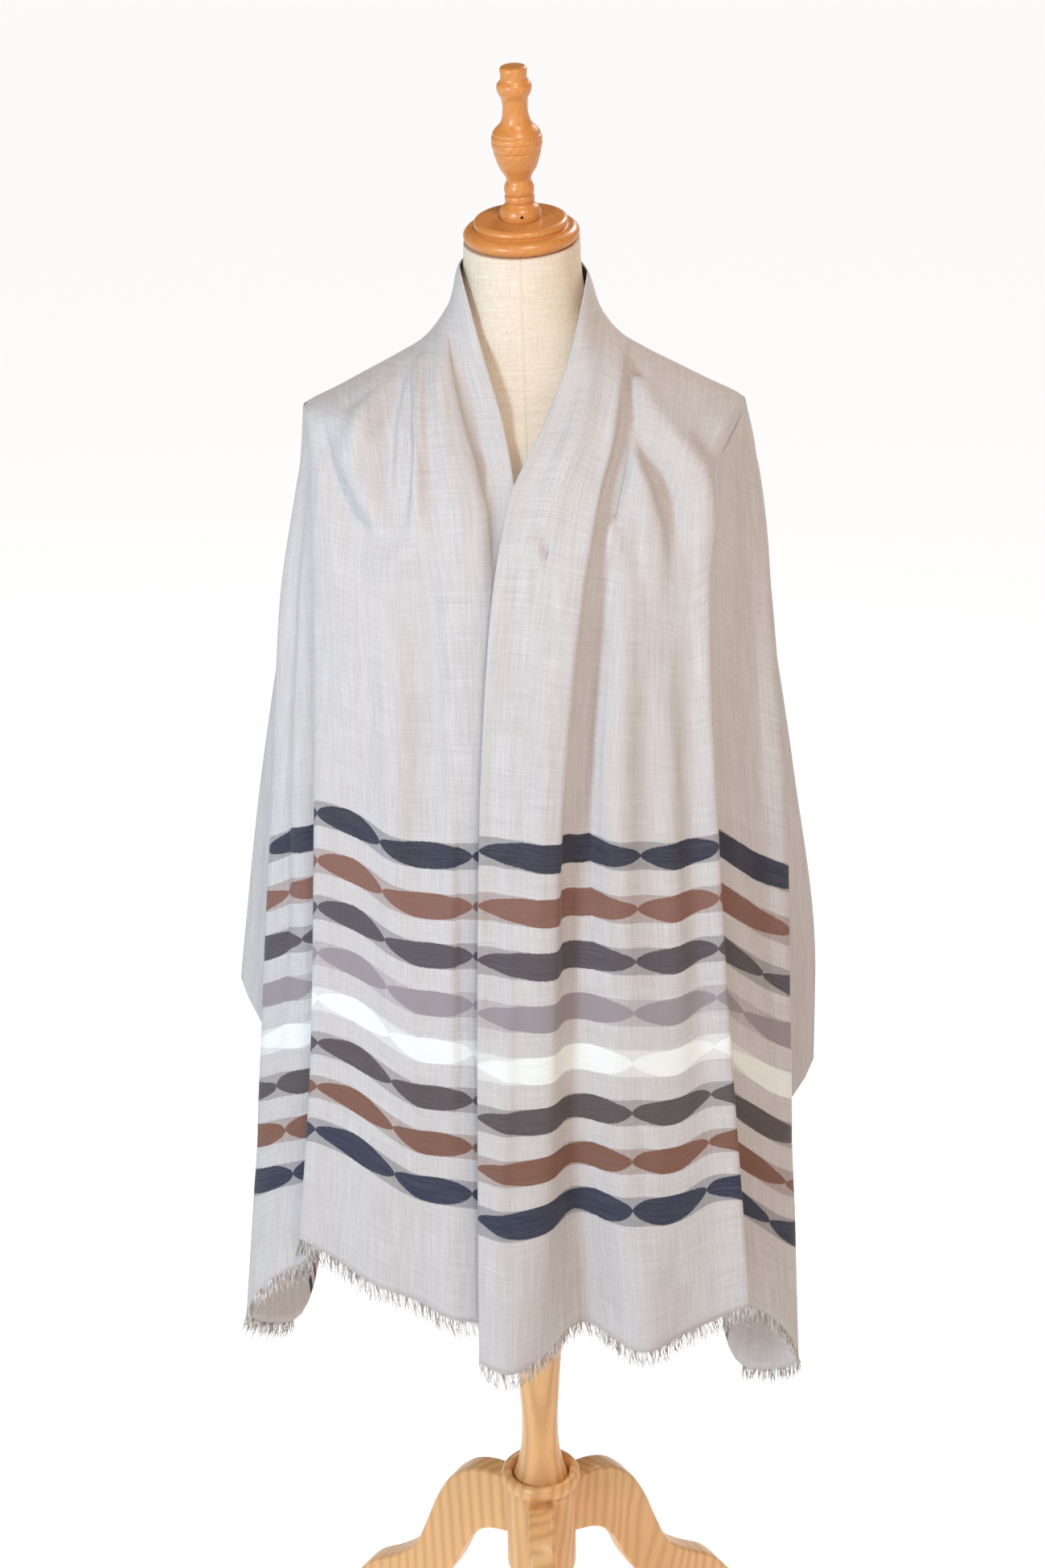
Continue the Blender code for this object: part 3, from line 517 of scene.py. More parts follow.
LEFT_SIDE = side_lines("""
    2 -1700 -400 -1680 -620 -1715 -740 -1815 -760 -1980 -780 6000
    2 -1770 -240 -1890 -480 -2000 -560 -2180 -560 -2440 -560 5560
    2 -1815 -40 -2000 -200 -2165 -280 -2360 -300 -2670 -300 5080
    3 -1810 80 -1960 0 -2080 0 -2190 40 -2310 200 4680
    3 -1800 160 -1880 220 -1890 300 -1900 340 -1970 400 6400
    2 -1800 280 -2000 520 -2310 720 -2620 830 -2560 830 8150""")
RIGHT_SIDE = side_lines("""
    2 1540 -600 1450 -760 1490 -880 1600 -900 1760 -880 5500
    2 1700 -400 1730 -580 1850 -640 1970 -640 2150 -600 5100
    2 1860 -80 1990 -200 2150 -280 2240 -300 2390 -300 4480
    3 1850 60 1950 0 2050 20 2050 60 1940 200 4100
    3 1825 160 1880 240 1880 320 1800 360 1720 440 5600
    2 1815 280 2000 520 2280 730 2510 840 2500 840 7280""")
NAPE_SHARES, NAPE_CELLS = (-0.62, 0.0, 0.62), 2
FLUTES_FROM, FLUTES_FULL = 1.22, 0.80
SPREAD_FROM, SPREAD_FULL = 1.34, 0.85
BACK_HEM = ((-0.26, 0.815), (0.0, 0.765), (0.26, 0.728))
Ridge = namedtuple("Ridge", "x0 z0 x1 z1 height width")
RIDGES = [Ridge(*row) for row in table("""
    -900 13720 -1580 12900 50 100
    -880 13500 -1320 12350 55 120
    -840 13200 -1050 11900 35 120
    840 13800 1300 13220 50 100
    1280 13350 1460 12150 45 130
    800 13500 920 12150 30 100""")]
FLUTES = ((-.195, .012, .030), (-.120, -.007, .026), (-.052, .011, .028), (.030, -.006, .026),
          (.098, .010, .026), (.180, .012, .034))
print(len(LEFT_FRONT) + len(RIGHT_FRONT), "front lines and", len(LEFT_SIDE) + len(RIGHT_SIDE), "side lines")

# %% Columns down the drape


def ridge_height(x, z):
    total = 0.0
    for ridge in RIDGES:
        run = Vector((ridge.x1 - ridge.x0, ridge.z1 - ridge.z0))
        spot = Vector((x - ridge.x0, z - ridge.z0))
        share = spot.dot(run) / run.length_squared
        if 0.0 < share < 1.0:
            off = (spot - run * share).length / ridge.width
            total += ridge.height * math.sin(math.pi * share) * math.exp(-off * off)
    return total


def front_point(x, z, lift):
    half, front, _ = section_at(z)
    share = min(abs(x) / half, 1.0)
    depth = front * (1 - share ** CREST_POWER) ** (1 / CREST_POWER)
    return Vector((x, -depth - ramp(depth, 0.0, LIFTS_FROM) * (lift + ridge_height(x, z)), z))


def back_point(x, z, x_hem):
    half, _, back = section_at(z)
    share = min(abs(x) / (half + BACK_EXTRA * ramp(z, SHOULDER_Z, WAIST_Z)), 1.0)
    depth = back * (1 - share ** BACK_POWER) ** (1 / BACK_POWER)
    wave = sum(height * math.exp(-((x_hem - at) / width) ** 2) for at, height, width in FLUTES)
    roll = NAPE_ROLL * math.exp(-((z - NAPE_ROLL_Z) / NAPE_ROLL_WIDTH) ** 2)
    proud = wave * ramp(z, FLUTES_FROM, FLUTES_FULL) + roll
    return Vector((x, depth + ramp(depth, 0.0, LIFTS_FROM) * proud, z))


def front_column(line, share, top):
    z = top + (line.foot - top) * share
    heights, places = [line.foot], [line.hem]
    for level, x in ((HIP_Z, line.hip), (WAIST_Z, line.waist), (BUST_Z, line.bust),
                     (BREAST_Z, line.breast), (CHEST_Z, line.chest), (NECK_Z, line.neck)):
        if level < top - 0.012:
            heights.append(level)
            places.append(x)
    heights.append(top)
    places.append(line.crest)
    lifts = [lift / 1000 for lift in reversed(line.lifts)] + [0.0]
    steps = [line.foot, HIP_Z, BUST_Z, BREAST_Z, min(NECK_Z, top - 0.03), top]
    steps[3] = min(steps[3], steps[4] - 0.005)
    return front_point(along(heights, places, z), z, along(steps, lifts, z))


def side_column(line, share, top):
    tip = math.copysign(TIP_X, line.hip[0])
    z = top + (line.foot_z - top) * share
    heights, xs, ys = [line.foot_z], [line.foot[0]], [line.foot[1]]
    for level, spot in ((HIP_Z, line.hip), (WAIST_Z, line.waist), (BUST_Z, line.bust),
                        (SHOULDER_Z, line.shoulder)):
        if level > line.foot_z + 0.02:
            heights.append(level)
            xs.append(spot[0])
            ys.append(spot[1])
    return Vector((along(heights + [top], xs + [tip], z), along(heights + [top], ys + [0.0], z), z))


def back_column(crest, share, top):
    x_hem = crest * BACK_SPREAD
    hem = along([p[0] for p in BACK_HEM], [p[1] for p in BACK_HEM], x_hem)
    z = top + (hem - top) * share
    return back_point(crest + (x_hem - crest) * ramp(z, SPREAD_FROM, SPREAD_FULL), z, x_hem)


# %% [markdown]
# ### From lines to a grid
# The lines are strung together round the body, and every row of the grid is one smooth curve
# through them. The grid is four times as fine across as the solid's, and three times at the sides.

# %% The grid of points
FINE_ACROSS, FINE_SIDE, FINE_ROWS, FINE_POWER = 4, 3, 126, 1.30


def half_lines(front, side):
    lines = [(front_column, line, crest_height(line.crest)) for line in front]
    lines += [(side_column, line, crest_height(TIP_X)) for line in side]
    lines += [(back_column, line.crest, crest_height(line.crest)) for line in reversed(front)]
    return lines, [line.cells * (FINE_SIDE if line in side else FINE_ACROSS)
                   for line in (*front, *side, *reversed(front[:-1]))]


left_lines, left_cells = half_lines(LEFT_FRONT, LEFT_SIDE)
right_lines, right_cells = half_lines(RIGHT_FRONT, RIGHT_SIDE)
nape_lines = [(back_column, CLOTH[-1].half * share, CLOTH[-1].z) for share in NAPE_SHARES]
lines = left_lines + nape_lines + right_lines[::-1]
cells = left_cells + [NAPE_CELLS * FINE_ACROSS] * (len(NAPE_SHARES) + 1) + right_cells[::-1]
starts = [sum(cells[:i]) for i in range(len(lines))]
rows, key_gaps = [], []
for row in range(FINE_ROWS + 1):
    share = (row / FINE_ROWS) ** FINE_POWER
    keys = [column(at, share, top) for column, at, top in lines]
    key_gaps.append(gaps_between(keys))
    rows.append(curve_points(keys, cells, key_gaps[-1]))


def lay_on_crest(top_row):
    """Puts the top row on the one shoulder crest, and the sides' at its tip."""
    crests = [at.crest if column is front_column else None if column is side_column
              else None if top == CLOTH[-1].z else at for column, at, top in lines]
    for i in range(len(lines) - 1):
        side = [lines[k][1] for k in (i, i + 1) if lines[k][0] is side_column]
        for spot in range(starts[i], starts[i + 1] + 1):
            if side and spot not in (starts[i], starts[i + 1]):
                x = math.copysign(TIP_X, side[0].hip[0])
            elif crests[i] is not None and crests[i + 1] is not None and crests[i] * crests[i + 1] > 0:
                x = crests[i] + (crests[i + 1] - crests[i]) * (spot - starts[i]) / cells[i]
            else:
                continue
            top_row[spot] = Vector((x, 0.0, crest_height(x)))


lay_on_crest(rows[0])
grid = np.array([[tuple(p) for p in row] for row in rows])
print("grid of", grid.shape[0], "by", grid.shape[1], "points")

# %% [markdown]
# ### Creases
# Cloth that hangs from a collar and two shoulders creases where it is pulled: short diagonals
# below the shoulders, soft loops where two pulls meet, and long shallow flutes below. Each crease
# is a path on the cloth with its own height and width. A ridge is above zero and a trough below.
# They are moved along the cloth's normal and die out at both ends. A row gives the crease's height
# and width, then the places it runs through: x and z on the front or the back, y and z on a side.

# %% Creases placed one by one
Crease = namedtuple("Crease", "zone height width path")
# A zone is a run of key lines, the coordinate its paths are given in, and whether each end is soft.
ZONES = {"left_roll": (0, 3, 0, 0, 1), "left_wide": (1, 7, 0, 0, 1), "left": (3, 7, 0, 0, 1),
         "left_side": (8, 11, 1, 1, 1),
         "back": (13, 33, 0, 1, 1), "right_side": (35, 38, 1, 1, 1), "right": (39, 42.6, 0, 1, 0),
         "band": (44, 46, 0, 0, 0)}
CREASE_TABLE = (
    # the left front, below the collar and the shoulder
    ("left", """
    -40 90 -1640 13360 -1580 13160 -1450 12860 -1260 12540 -1100 12400
    30 120 -1120 13620 -1280 13340 -1310 13020 -1180 12660"""),
    ("left_wide", """
    -44 85 -920 13740 -1050 13400 -1080 13000 -1020 12520
    -34 48 -860 13800 -885 13420 -900 13040 -950 12620
    44 58 -800 13800 -800 13400 -820 13000 -850 12560"""),
    ("left", """
    -16 65 -1000 13720 -1250 13520 -1500 13380
    26 100 -1250 12440 -1060 12320 -900 12460
    30 180 -1580 12900 -1480 12300 -1420 11500 -1440 10500
    -30 190 -740 12200 -750 11600 -760 10700 -780 9600
    22 200 -1030 11800 -1050 11100 -1090 10000 -1150 8600
    -22 180 -1300 11500 -1290 10800 -1310 9800 -1360 8300 -1450 6900
    18 150 -600 11800 -560 10500 -570 9000 -640 7400
    14 160 -900 9800 -950 8500 -1020 7000 -1080 6000
    -12 90 -480 12400 -440 11600 -460 10600"""),
    # the rolled edge at the left of the neck
    ("left_roll", """
    -14 45 -480 13840 -380 13450 -320 13100 -330 12680
    18 80 -660 13800 -620 13400 -560 13000 -500 12500
    -18 70 -740 13720 -720 13350 -680 12900 -620 12400"""),
    # the right front
    ("right", """
    -44 36 790 13715 860 13705 960 13680
    34 135 860 13660 1010 13420 1160 13180 1350 12980 1440 12680 1430 12320
    -32 95 790 13500 900 13220 1040 12940 1160 12640 1210 12260
    24 85 790 13300 880 13080 980 12800 1040 12460 1040 12040
    -16 62 760 13120 830 12820 880 12500 900 11950
    -50 42 700 13220 660 12980 650 12760 690 12540
    26 40 580 12640 670 12490 740 12340
    -16 34 660 12680 730 12520 790 12380
    -46 130 480 12300 450 11500 460 10700 470 9800 480 9000
    30 180 740 11900 730 11200 740 10400 730 9400 740 8400
    -18 160 930 11300 970 10600 990 9500 1010 8400
    20 160 1080 11500 1120 10800 1150 9800 1200 8600 1240 7400
    -22 150 1270 11800 1290 11100 1320 10000 1380 8800 1440 7600
    16 160 640 8400 660 7600 720 6600 760 5800
    -16 150 880 7800 920 7000 960 6100"""),
    # the folded band
    ("band", """
    20 130 560 13850 450 13400 280 12950 100 12360
    -14 90 660 13600 560 13100 440 12600 360 12000
    -18 70 440 13680 300 13350 80 12920 -100 12550
    -20 30 105 12620 130 12500 170 12430
    20 34 80 12550 120 12440 140 12320
    -16 32 180 12520 160 12380 80 12280
    -12 80 -60 12250 -110 11800 -140 11200
    14 100 180 11800 120 10800 50 9700 10 8600
    -12 90 -240 11500 -290 10400 -330 9200 -340 8000
    12 100 -180 9200 -230 8000 -290 6800 -330 5900"""),
    # the left side
    ("left_side", """
    -34 120 -300 12900 -440 11800 -480 10400 -500 9000 -500 7600
    26 120 -160 12700 -300 11600 -380 10200 -400 8800 -400 7200
    22 110 -560 11500 -620 10200 -640 8800 -660 7400
    -22 100 -120 11200 -180 9800 -200 8200 -220 6600
    18 90 -20 10000 -80 8600 -100 7200 -80 6000"""),
    # the right side
    ("right_side", """
    -34 120 -340 12900 -500 11900 -560 10500 -580 9000 -580 7400
    30 120 -180 12800 -340 11700 -420 10300 -440 8800 -440 7000
    22 110 -660 11300 -740 10000 -760 8600 -760 7000
    -22 100 -120 11200 -200 9800 -220 8200 -220 6400
    18 90 -20 9600 -60 8200 -80 6800 -60 5600"""),
    # the back: pulls from the nape and the shoulders, and the flutes below them
    ("back", """
    -26 90 -440 14000 -800 13650 -1180 13300 -1480 12850
    26 120 -380 13850 -760 13400 -1100 12900 -1340 12250
    -30 120 -300 13700 -560 13100 -840 12400 -1040 11600
    26 140 -180 13600 -340 12900 -520 12000 -640 10900
    -22 130 -40 13500 -100 12700 -160 11700 -200 10500
    22 140 140 13550 220 12700 260 11700 260 10600
    -28 120 300 13720 540 13100 720 12300 820 11400
    28 130 400 13880 740 13450 1040 12900 1240 12100
    -28 95 460 14020 860 13660 1220 13260 1500 12700
    22 90 640 13800 1040 13520 1400 13220
    -20 60 -200 14080 50 13980 260 14050
    18 80 -280 13850 20 13720 300 13840
    -32 160 -1500 12400 -1560 11300 -1620 10000 -1680 8800
    32 170 -1180 11800 -1240 10800 -1300 9600 -1360 8500
    -34 170 -880 11200 -900 10200 -920 9200 -940 8200
    28 170 -60 10800 -40 9800 -20 8800 -10 7900
    -28 160 600 11200 640 10000 680 8800 700 7800
    32 170 940 11600 1020 10400 1100 9200 1160 7900
    -32 160 1340 11800 1420 10600 1500 9300 1560 8000
    24 140 1640 12400 1760 11200 1860 9900 1940 8600
    24 140 -1760 12400 -1860 11200 -1960 10000 -2060 8800
    -20 120 -420 10600 -400 9600 -380 8600
    -20 120 280 10400 300 9400 310 8300"""))
CREASES = [Crease(zone, row[0], row[1], pairs(row[2:]))
           for zone, text in CREASE_TABLE for row in table(text)]
print(len(CREASES), "creases")

# %% [markdown]
# ### Moving the grid along its normals
# A crease's height falls off on both sides like a bell, steeper on one side than on the other, as
# in real cloth, where one flank of a fold hangs and the other is pulled.

# %% Creases on the grid
CREASE_DEPTH = 2.3      # scales the whole table
LOPSIDED = 0.30         # how much wider a crease is on one side than in the middle
CREST_BLEND = 0.024     # how far below the crest a crease reaches its full height


def normals_of(points):
    across = np.gradient(points, axis=1)
    down = np.gradient(points, axis=0)
    normals = np.cross(across, down)
    return normals / np.maximum(np.linalg.norm(normals, axis=2, keepdims=True), 1e-12)


line_at = np.interp(np.arange(grid.shape[1]), starts, range(len(starts)))
step_down = np.linalg.norm(np.diff(grid, axis=0), axis=2)
below_crest = np.vstack([np.zeros(grid.shape[1]), np.cumsum(step_down, axis=0)])
below_crest = eased(np.clip(below_crest / CREST_BLEND, 0.0, 1.0))
normals = normals_of(grid)


def zone_weight(zone):
    """1 inside the zone, fading out over one key line where its end is soft."""
    low, high, _, soft_low, soft_high = ZONES[zone]
    outside = np.maximum((low - line_at) * (1.0 if soft_low else 1e6),
                         (line_at - high) * (1.0 if soft_high else 1e6))
    return eased(np.clip(1.0 - outside, 0.0, 1.0))


def path_on_cloth(crease):
    """The crease's points, each on the nearest point of the grid inside its zone."""
    low, high, axis, _, _ = ZONES[crease.zone]
    inside = np.flatnonzero((line_at >= low) & (line_at <= high))
    part = grid[:, inside].reshape(-1, 3)
    spots = []
    for place, z in crease.path:
        apart = (part[:, axis] - place) ** 2 + (part[:, 2] - z) ** 2
        spots.append(Vector(part[int(np.argmin(apart))]))
    return [np.array(p) for p in curve_points(spots, [6] * (len(spots) - 1))]


def crease_height(crease):
    """How far each point of the grid moves for this crease."""
    path = path_on_cloth(crease)
    best = np.full(grid.shape[:2], 1e9)
    share = np.zeros(grid.shape[:2])
    side = np.zeros(grid.shape[:2])
    for i, (a, b) in enumerate(zip(path, path[1:])):
        run = b - a
        t = np.clip(((grid - a) @ run) / max(run @ run, 1e-12), 0.0, 1.0)
        off = grid - (a + t[..., None] * run)
        apart = np.linalg.norm(off, axis=2)
        nearer = apart < best
        best = np.where(nearer, apart, best)
        share = np.where(nearer, (i + t) / (len(path) - 1), share)
        side = np.where(nearer, np.sign(np.sum(np.cross(run, normals) * off, axis=2)), side)
    width = crease.width * (1.0 + LOPSIDED * side) * (0.75 + 0.5 * share)
    ends = np.sin(np.pi * np.clip(0.06 + 0.90 * share, 0.0, 1.0)) ** 0.8
    return CREASE_DEPTH * crease.height * ends * np.exp(-(best / width) ** 2) * zone_weight(crease.zone)


moved = sum(crease_height(crease) for crease in CREASES) * below_crest
creased = grid + normals * moved[..., None]
print("creases move the cloth from %.1f to %.1f mm" % (moved.min() * 1000, moved.max() * 1000))

# %% [markdown]
# ### Where the weave and the stripes lie
# The pattern has to follow the cloth, so the sheet carries two maps. One gives metres across and
# along the cloth for the weave. The other gives the height above the hem, which bends with the
# folds as the woven stripes do, and the phase of the two waves that cross in every stripe.

# %% Two maps for the pattern
FIRST_STRIPE, STRIPE_STEP, STRIPE_COUNT = 0.427, 0.046, 8
LAST_STRIPE = FIRST_STRIPE - STRIPE_STEP * (STRIPE_COUNT - 1)
CLOTH_DROP = 0.95       # metres of cloth to one unit of height above the hem
BACK_STEP = 0.0245      # metres across from one line of the back to the next
# For each key line, in thousandths: the z of the first and the last stripe, and the phase at each.
LEFT_STRIPES = table("""
    994 688 -500 -500,  994 688 -180 -170,  994 688 -160 -150,  994 691 220 240,
    993 694 620 730,  1001 712 980 1220,  1014 727 1570 1750,  1016 730 2120 2200,
    997 693 2450 3000,  981 663 2680 4450,  962 646 3060 4780,  958 633 3500 5400""", 1000)
RIGHT_STRIPES = table("""
    1003 673 0 0,  1000 668 270 250,  996 671 500 500,  997 672 500 200,
    991 667 890 1120,  986 666 1270 1660,  986 679 1670 2090,  990 678 2000 2400,
    988 661 2250 3200,  955 612 2500 4040,  928 584 2920 4400,  922 581 3300 5000""", 1000)
LEFT_WIDTHS = (.0255, .003, .027, .0335, .031, .0347, .0318, .017, .040, .0325, .037, .040, .090)
RIGHT_WIDTHS = (.031, .0325, .023, .057, .034, .027, .022, .021, .045, .045, .039, .038, .085)


def stripe_key(stripe, foot, z):
    """Phase and height above the hem where a key line passes this z."""
    first, last, phase_first, phase_last = stripe
    slope = (FIRST_STRIPE - LAST_STRIPE) / (first - last)
    if z < last:
        up = LAST_STRIPE * (z - foot) / (last - foot)
    else:
        up = LAST_STRIPE + slope * (z - last)
    share = min(max((z - last) / (first - last), -0.4), 1.6)
    return Vector((phase_last + (phase_first - phase_last) * share, up, 0))


def plain_key(phase, start, foot, z):
    return Vector((phase, start + (z - foot) / CLOTH_DROP, 0))


def line_keys(row):
    """The stripe map's value at every key line of one row."""
    keys = []
    for i, (column, at, top) in enumerate(lines):
        z = grid[row, starts[i], 2]
        foot = grid[-1, starts[i], 2]
        mirror = len(lines) - 1 - i
        if i < len(LEFT_STRIPES):
            keys.append(stripe_key(LEFT_STRIPES[i], foot, z))
        elif mirror < len(RIGHT_STRIPES):
            keys.append(stripe_key(RIGHT_STRIPES[mirror], foot, z))
        else:
            keys.append(plain_key(6.5, 0.50, foot, z))
    return keys


pattern = np.array([[(p.x, p.y) for p in curve_points(line_keys(row), cells, key_gaps[row])]
                    for row in range(grid.shape[0])])
line_metres = [0.0]
for i in range(len(lines) - 1):
    mirror = len(lines) - 2 - i
    width = (LEFT_WIDTHS[i] if i < len(LEFT_WIDTHS)
             else RIGHT_WIDTHS[mirror] if mirror < len(RIGHT_WIDTHS) else BACK_STEP)
    line_metres.append(line_metres[-1] + width)
metres_across = np.interp(line_at, range(len(lines)), line_metres)
print("the sheet is", round(line_metres[-1], 3), "m round its hem")

# %% [markdown]
# ### The sheet
# The points become quads. The front and back meet along the shoulder's crest, so their doubled
# points are merged, and Solidify gives the cloth its wall inwards, away from the viewer.

# %% The sheet
CLOTH_WALL, SAME_SPOT = 0.0009, 0.00002


def build_sheet(name, points):
    width = points.shape[1]
    spots = [(x, y + AXIS_Y, z) for row in points for x, y, z in row]
    faces = [(r * width + c, r * width + c + 1, (r + 1) * width + c + 1, (r + 1) * width + c)
             for r in range(points.shape[0] - 1) for c in range(width - 1)]
    mesh = bpy.data.meshes.new(name)
    mesh.from_pydata(spots, [], faces)
    weave, stripe = mesh.uv_layers.new(name="weave"), mesh.uv_layers.new(name="stripe")
    for corner in mesh.loops:
        row, column = divmod(corner.vertex_index, width)
        up = pattern[row, column]
        weave.data[corner.index].uv = (metres_across[column], up[1] * CLOTH_DROP)
        stripe.data[corner.index].uv = (up[0], up[1])
    shape = bmesh.new()
    shape.from_mesh(mesh)
    bmesh.ops.remove_doubles(shape, verts=shape.verts, dist=SAME_SPOT)
    shape.to_mesh(mesh)
    shape.free()
    mesh.shade_smooth()
    return link(name, mesh)


shawl = build_sheet("shawl_sheet", creased)
wall = shawl.modifiers.new("Solidify", "SOLIDIFY")
wall.thickness = CLOTH_WALL
wall.offset = -1
apply_all(shawl)
stand_for(shawl, "shawl")

# %% [markdown]
# ## The fringe
# The weft is pulled out of the last centimetre of the cloth, so loose warp ends hang from the
# hem. Each is a thin tapered strand in four steps. They lean a little, lie in small uneven groups
# and differ in length, and none is a cord.

# %% Fringe strands
STRAND_PITCH, STRAND_RADIUS, STRAND_LENGTH, STRAND_ROOT = 0.00085, 0.00055, 0.0160, 0.0008
STRAND_STEPS, STRAND_SIDES, SEED = 4, 4, 7


def fringe(name, first, last, node):
    hem, above = creased[-1, first:last + 1], creased[-4, first:last + 1]
    outward = normals_of(creased)[-1, first:last + 1]
    steps = np.linalg.norm(np.diff(hem, axis=0), axis=1)
    reach = np.concatenate([[0.0], np.cumsum(steps)])
    count = int(reach[-1] / STRAND_PITCH)
    chance = np.random.default_rng(SEED + first)
    shape = bmesh.new()
    for i in range(count):
        at = (i + 0.5 + chance.uniform(-0.35, 0.35)) * reach[-1] / count
        root, up, out = (np.array([np.interp(at, reach, part[:, k]) for k in range(3)])
                         for part in (hem, above, outward))
        down = (root - up) / np.linalg.norm(root - up)
        run = np.cross(out, down)
        group = math.sin(at * 900.0) + 0.6 * math.sin(at * 2300.0 + 1.0)
        lean = 0.10 + 0.16 * group + chance.uniform(-0.14, 0.14)
        length = STRAND_LENGTH * (1.0 + 0.10 * group + chance.uniform(-0.22, 0.12))
        curl, toward = chance.uniform(-0.25, 0.25), chance.uniform(-0.10, 0.22)
        rings = []
        for step in range(STRAND_STEPS + 1):
            t = step / STRAND_STEPS
            side = run * (lean * t + curl * t * t) * length
            spot = root - out * (CLOTH_WALL / 2) + down * (t * length - STRAND_ROOT) + side
            spot = spot + out * toward * length * t * t
            radius = STRAND_RADIUS * (1.0 - 0.65 * t)
            ring = []
            for k in range(STRAND_SIDES):
                angle = math.pi / STRAND_SIDES + k * 2 * math.pi / STRAND_SIDES
                edge = spot + (run * math.cos(angle) + out * math.sin(angle)) * radius
                ring.append(shape.verts.new((edge[0], edge[1] + AXIS_Y, edge[2])))
            rings.append(ring)
        for ring, after in zip(rings, rings[1:]):
            for k in range(STRAND_SIDES):
                after_k = (k + 1) % STRAND_SIDES
                shape.faces.new((ring[k], ring[after_k], after[after_k], after[k]))
        shape.faces.new(rings[0][::-1])
        shape.faces.new(rings[-1])
    bmesh.ops.recalc_face_normals(shape, faces=shape.faces)
    mesh = bpy.data.meshes.new(name)
    shape.to_mesh(mesh)
    shape.free()
    mesh.shade_smooth()
    strands = link(name, mesh)
    stand_for(strands, node)
    print(count, "strands")
    return strands


to_corner = len(LEFT_FRONT) + 3
fringe_left = fringe("fringe_strands_left", 0, starts[to_corner], "fringe_left")
fringe_right = fringe("fringe_strands_right", starts[-1 - to_corner], starts[-1], "fringe_right")

# %% [markdown]
# ## Writing a finish as an expression
# Every finish below is made of nodes. Wiring them one by one is long to read, so a small class
# wraps a socket and lets + - * / and the like add the Math nodes. One method adds any other node.

# %% Helpers for finishes


class Number:
    """A socket that can be used in arithmetic."""

    def __init__(self, finish, socket):
        self.finish, self.socket = finish, socket

    def math(self, operation, *values):
        return self.finish.node("ShaderNodeMath", {"operation": operation}, dict(enumerate(values)))

    def between(self, start, full):
        """0 below start, 1 above full, with a soft change between."""
        settings = {"interpolation_type": "SMOOTHSTEP", "clamp": True}
        return self.finish.node("ShaderNodeMapRange", settings,
                                {"Value": self, "From Min": start, "From Max": full})


def math_method(operation, swapped=False):
    def method(self, *others):
        return self.math(operation, *((*others, self) if swapped else (self, *others)))
    return method


for name, operation in (("add", "ADD"), ("sub", "SUBTRACT"), ("mul", "MULTIPLY")):
    setattr(Number, "__%s__" % name, math_method(operation))
    setattr(Number, "__r%s__" % name, math_method(operation, swapped=True))
for name, operation in {"__truediv__": "DIVIDE", "__pow__": "POWER", "__gt__": "GREATER_THAN",
                        "__lt__": "LESS_THAN", "__abs__": "ABSOLUTE", "sine": "SINE",
                        "fraction": "FRACT"}.items():
    setattr(Number, name, math_method(operation))


class Finish:
    """A material being made: its node tree and its Principled shader."""

    def __init__(self, name, **values):
        self.material = bpy.data.materials.new(name)
        self.material.use_nodes = True
        self.tree = self.material.node_tree
        self.shader = self.tree.nodes["Principled BSDF"]
        for socket, value in values.items():
            self.shader.inputs[socket.replace("_", " ")].default_value = value

    def node(self, kind, settings=None, inputs=None, output=0):
        """Adds a node: its settings first, then the values or links of its sockets."""
        made = self.tree.nodes.new(kind)
        for key, value in (settings or {}).items():
            if key == "stops":
                while len(made.color_ramp.elements) < len(value):
                    made.color_ramp.elements.new(1.0)
                for stop, (position, colour) in zip(made.color_ramp.elements, value):
                    stop.position, stop.color = position, (*colour, 1.0)
            elif key == "ramp":
                made.color_ramp.interpolation = value
            else:
                setattr(made, key, value)
        for key, value in (inputs or {}).items():
            if isinstance(value, Number):
                self.tree.links.new(value.socket, made.inputs[key])
            else:
                made.inputs[key].default_value = value
        return Number(self, made.outputs[output])

    def place(self):
        return self.node("ShaderNodeTexCoord", output="Object")

    def axes(self, vector):
        parts = self.node("ShaderNodeSeparateXYZ", {}, {0: vector}).socket.node
        return [Number(self, parts.outputs[k]) for k in range(3)]

    def vector(self, x, y, z=0.0):
        return self.node("ShaderNodeCombineXYZ", {}, {0: x, 1: y, 2: z})

    def scaled(self, vector, sizes):
        return self.node("ShaderNodeVectorMath", {"operation": "MULTIPLY"}, {0: vector, 1: sizes})

    def noise(self, vector, scale, detail=2.0, roughness=0.5):
        return self.node("ShaderNodeTexNoise", {},
                         {"Vector": vector, "Scale": scale, "Detail": detail, "Roughness": roughness})

    def threads(self, vector, sizes, detail=2.0, roughness=0.5):
        """Noise stretched by a different size along each axis."""
        return self.noise(self.scaled(vector, sizes), 1.0, detail, roughness)

    def mix(self, share, low, high):
        low, high = ((*c, 1.0) if isinstance(c, tuple) else c for c in (low, high))
        return self.node("ShaderNodeMix", {"data_type": "RGBA"}, {0: share, 6: low, 7: high}, output=2)

    def bump(self, height, distance, strength=1.0):
        return self.node("ShaderNodeBump", {}, {"Height": height, "Distance": distance, "Strength": strength})

    def finish(self, **links):
        for socket, value in links.items():
            self.tree.links.new(value.socket, self.shader.inputs[socket.replace("_", " ")])
        return self.material


def srgb(red, green, blue):
    """A colour as a paint chart gives it, 0 to 255, for a shader."""
    return tuple((v / 255 / 12.92) if v <= 10 else ((v / 255 + 0.055) / 1.055) ** 2.4
                 for v in (red, green, blue))


def dress(material, *pieces):
    for piece in pieces:
        piece.data.materials.clear()
        piece.data.materials.append(material)


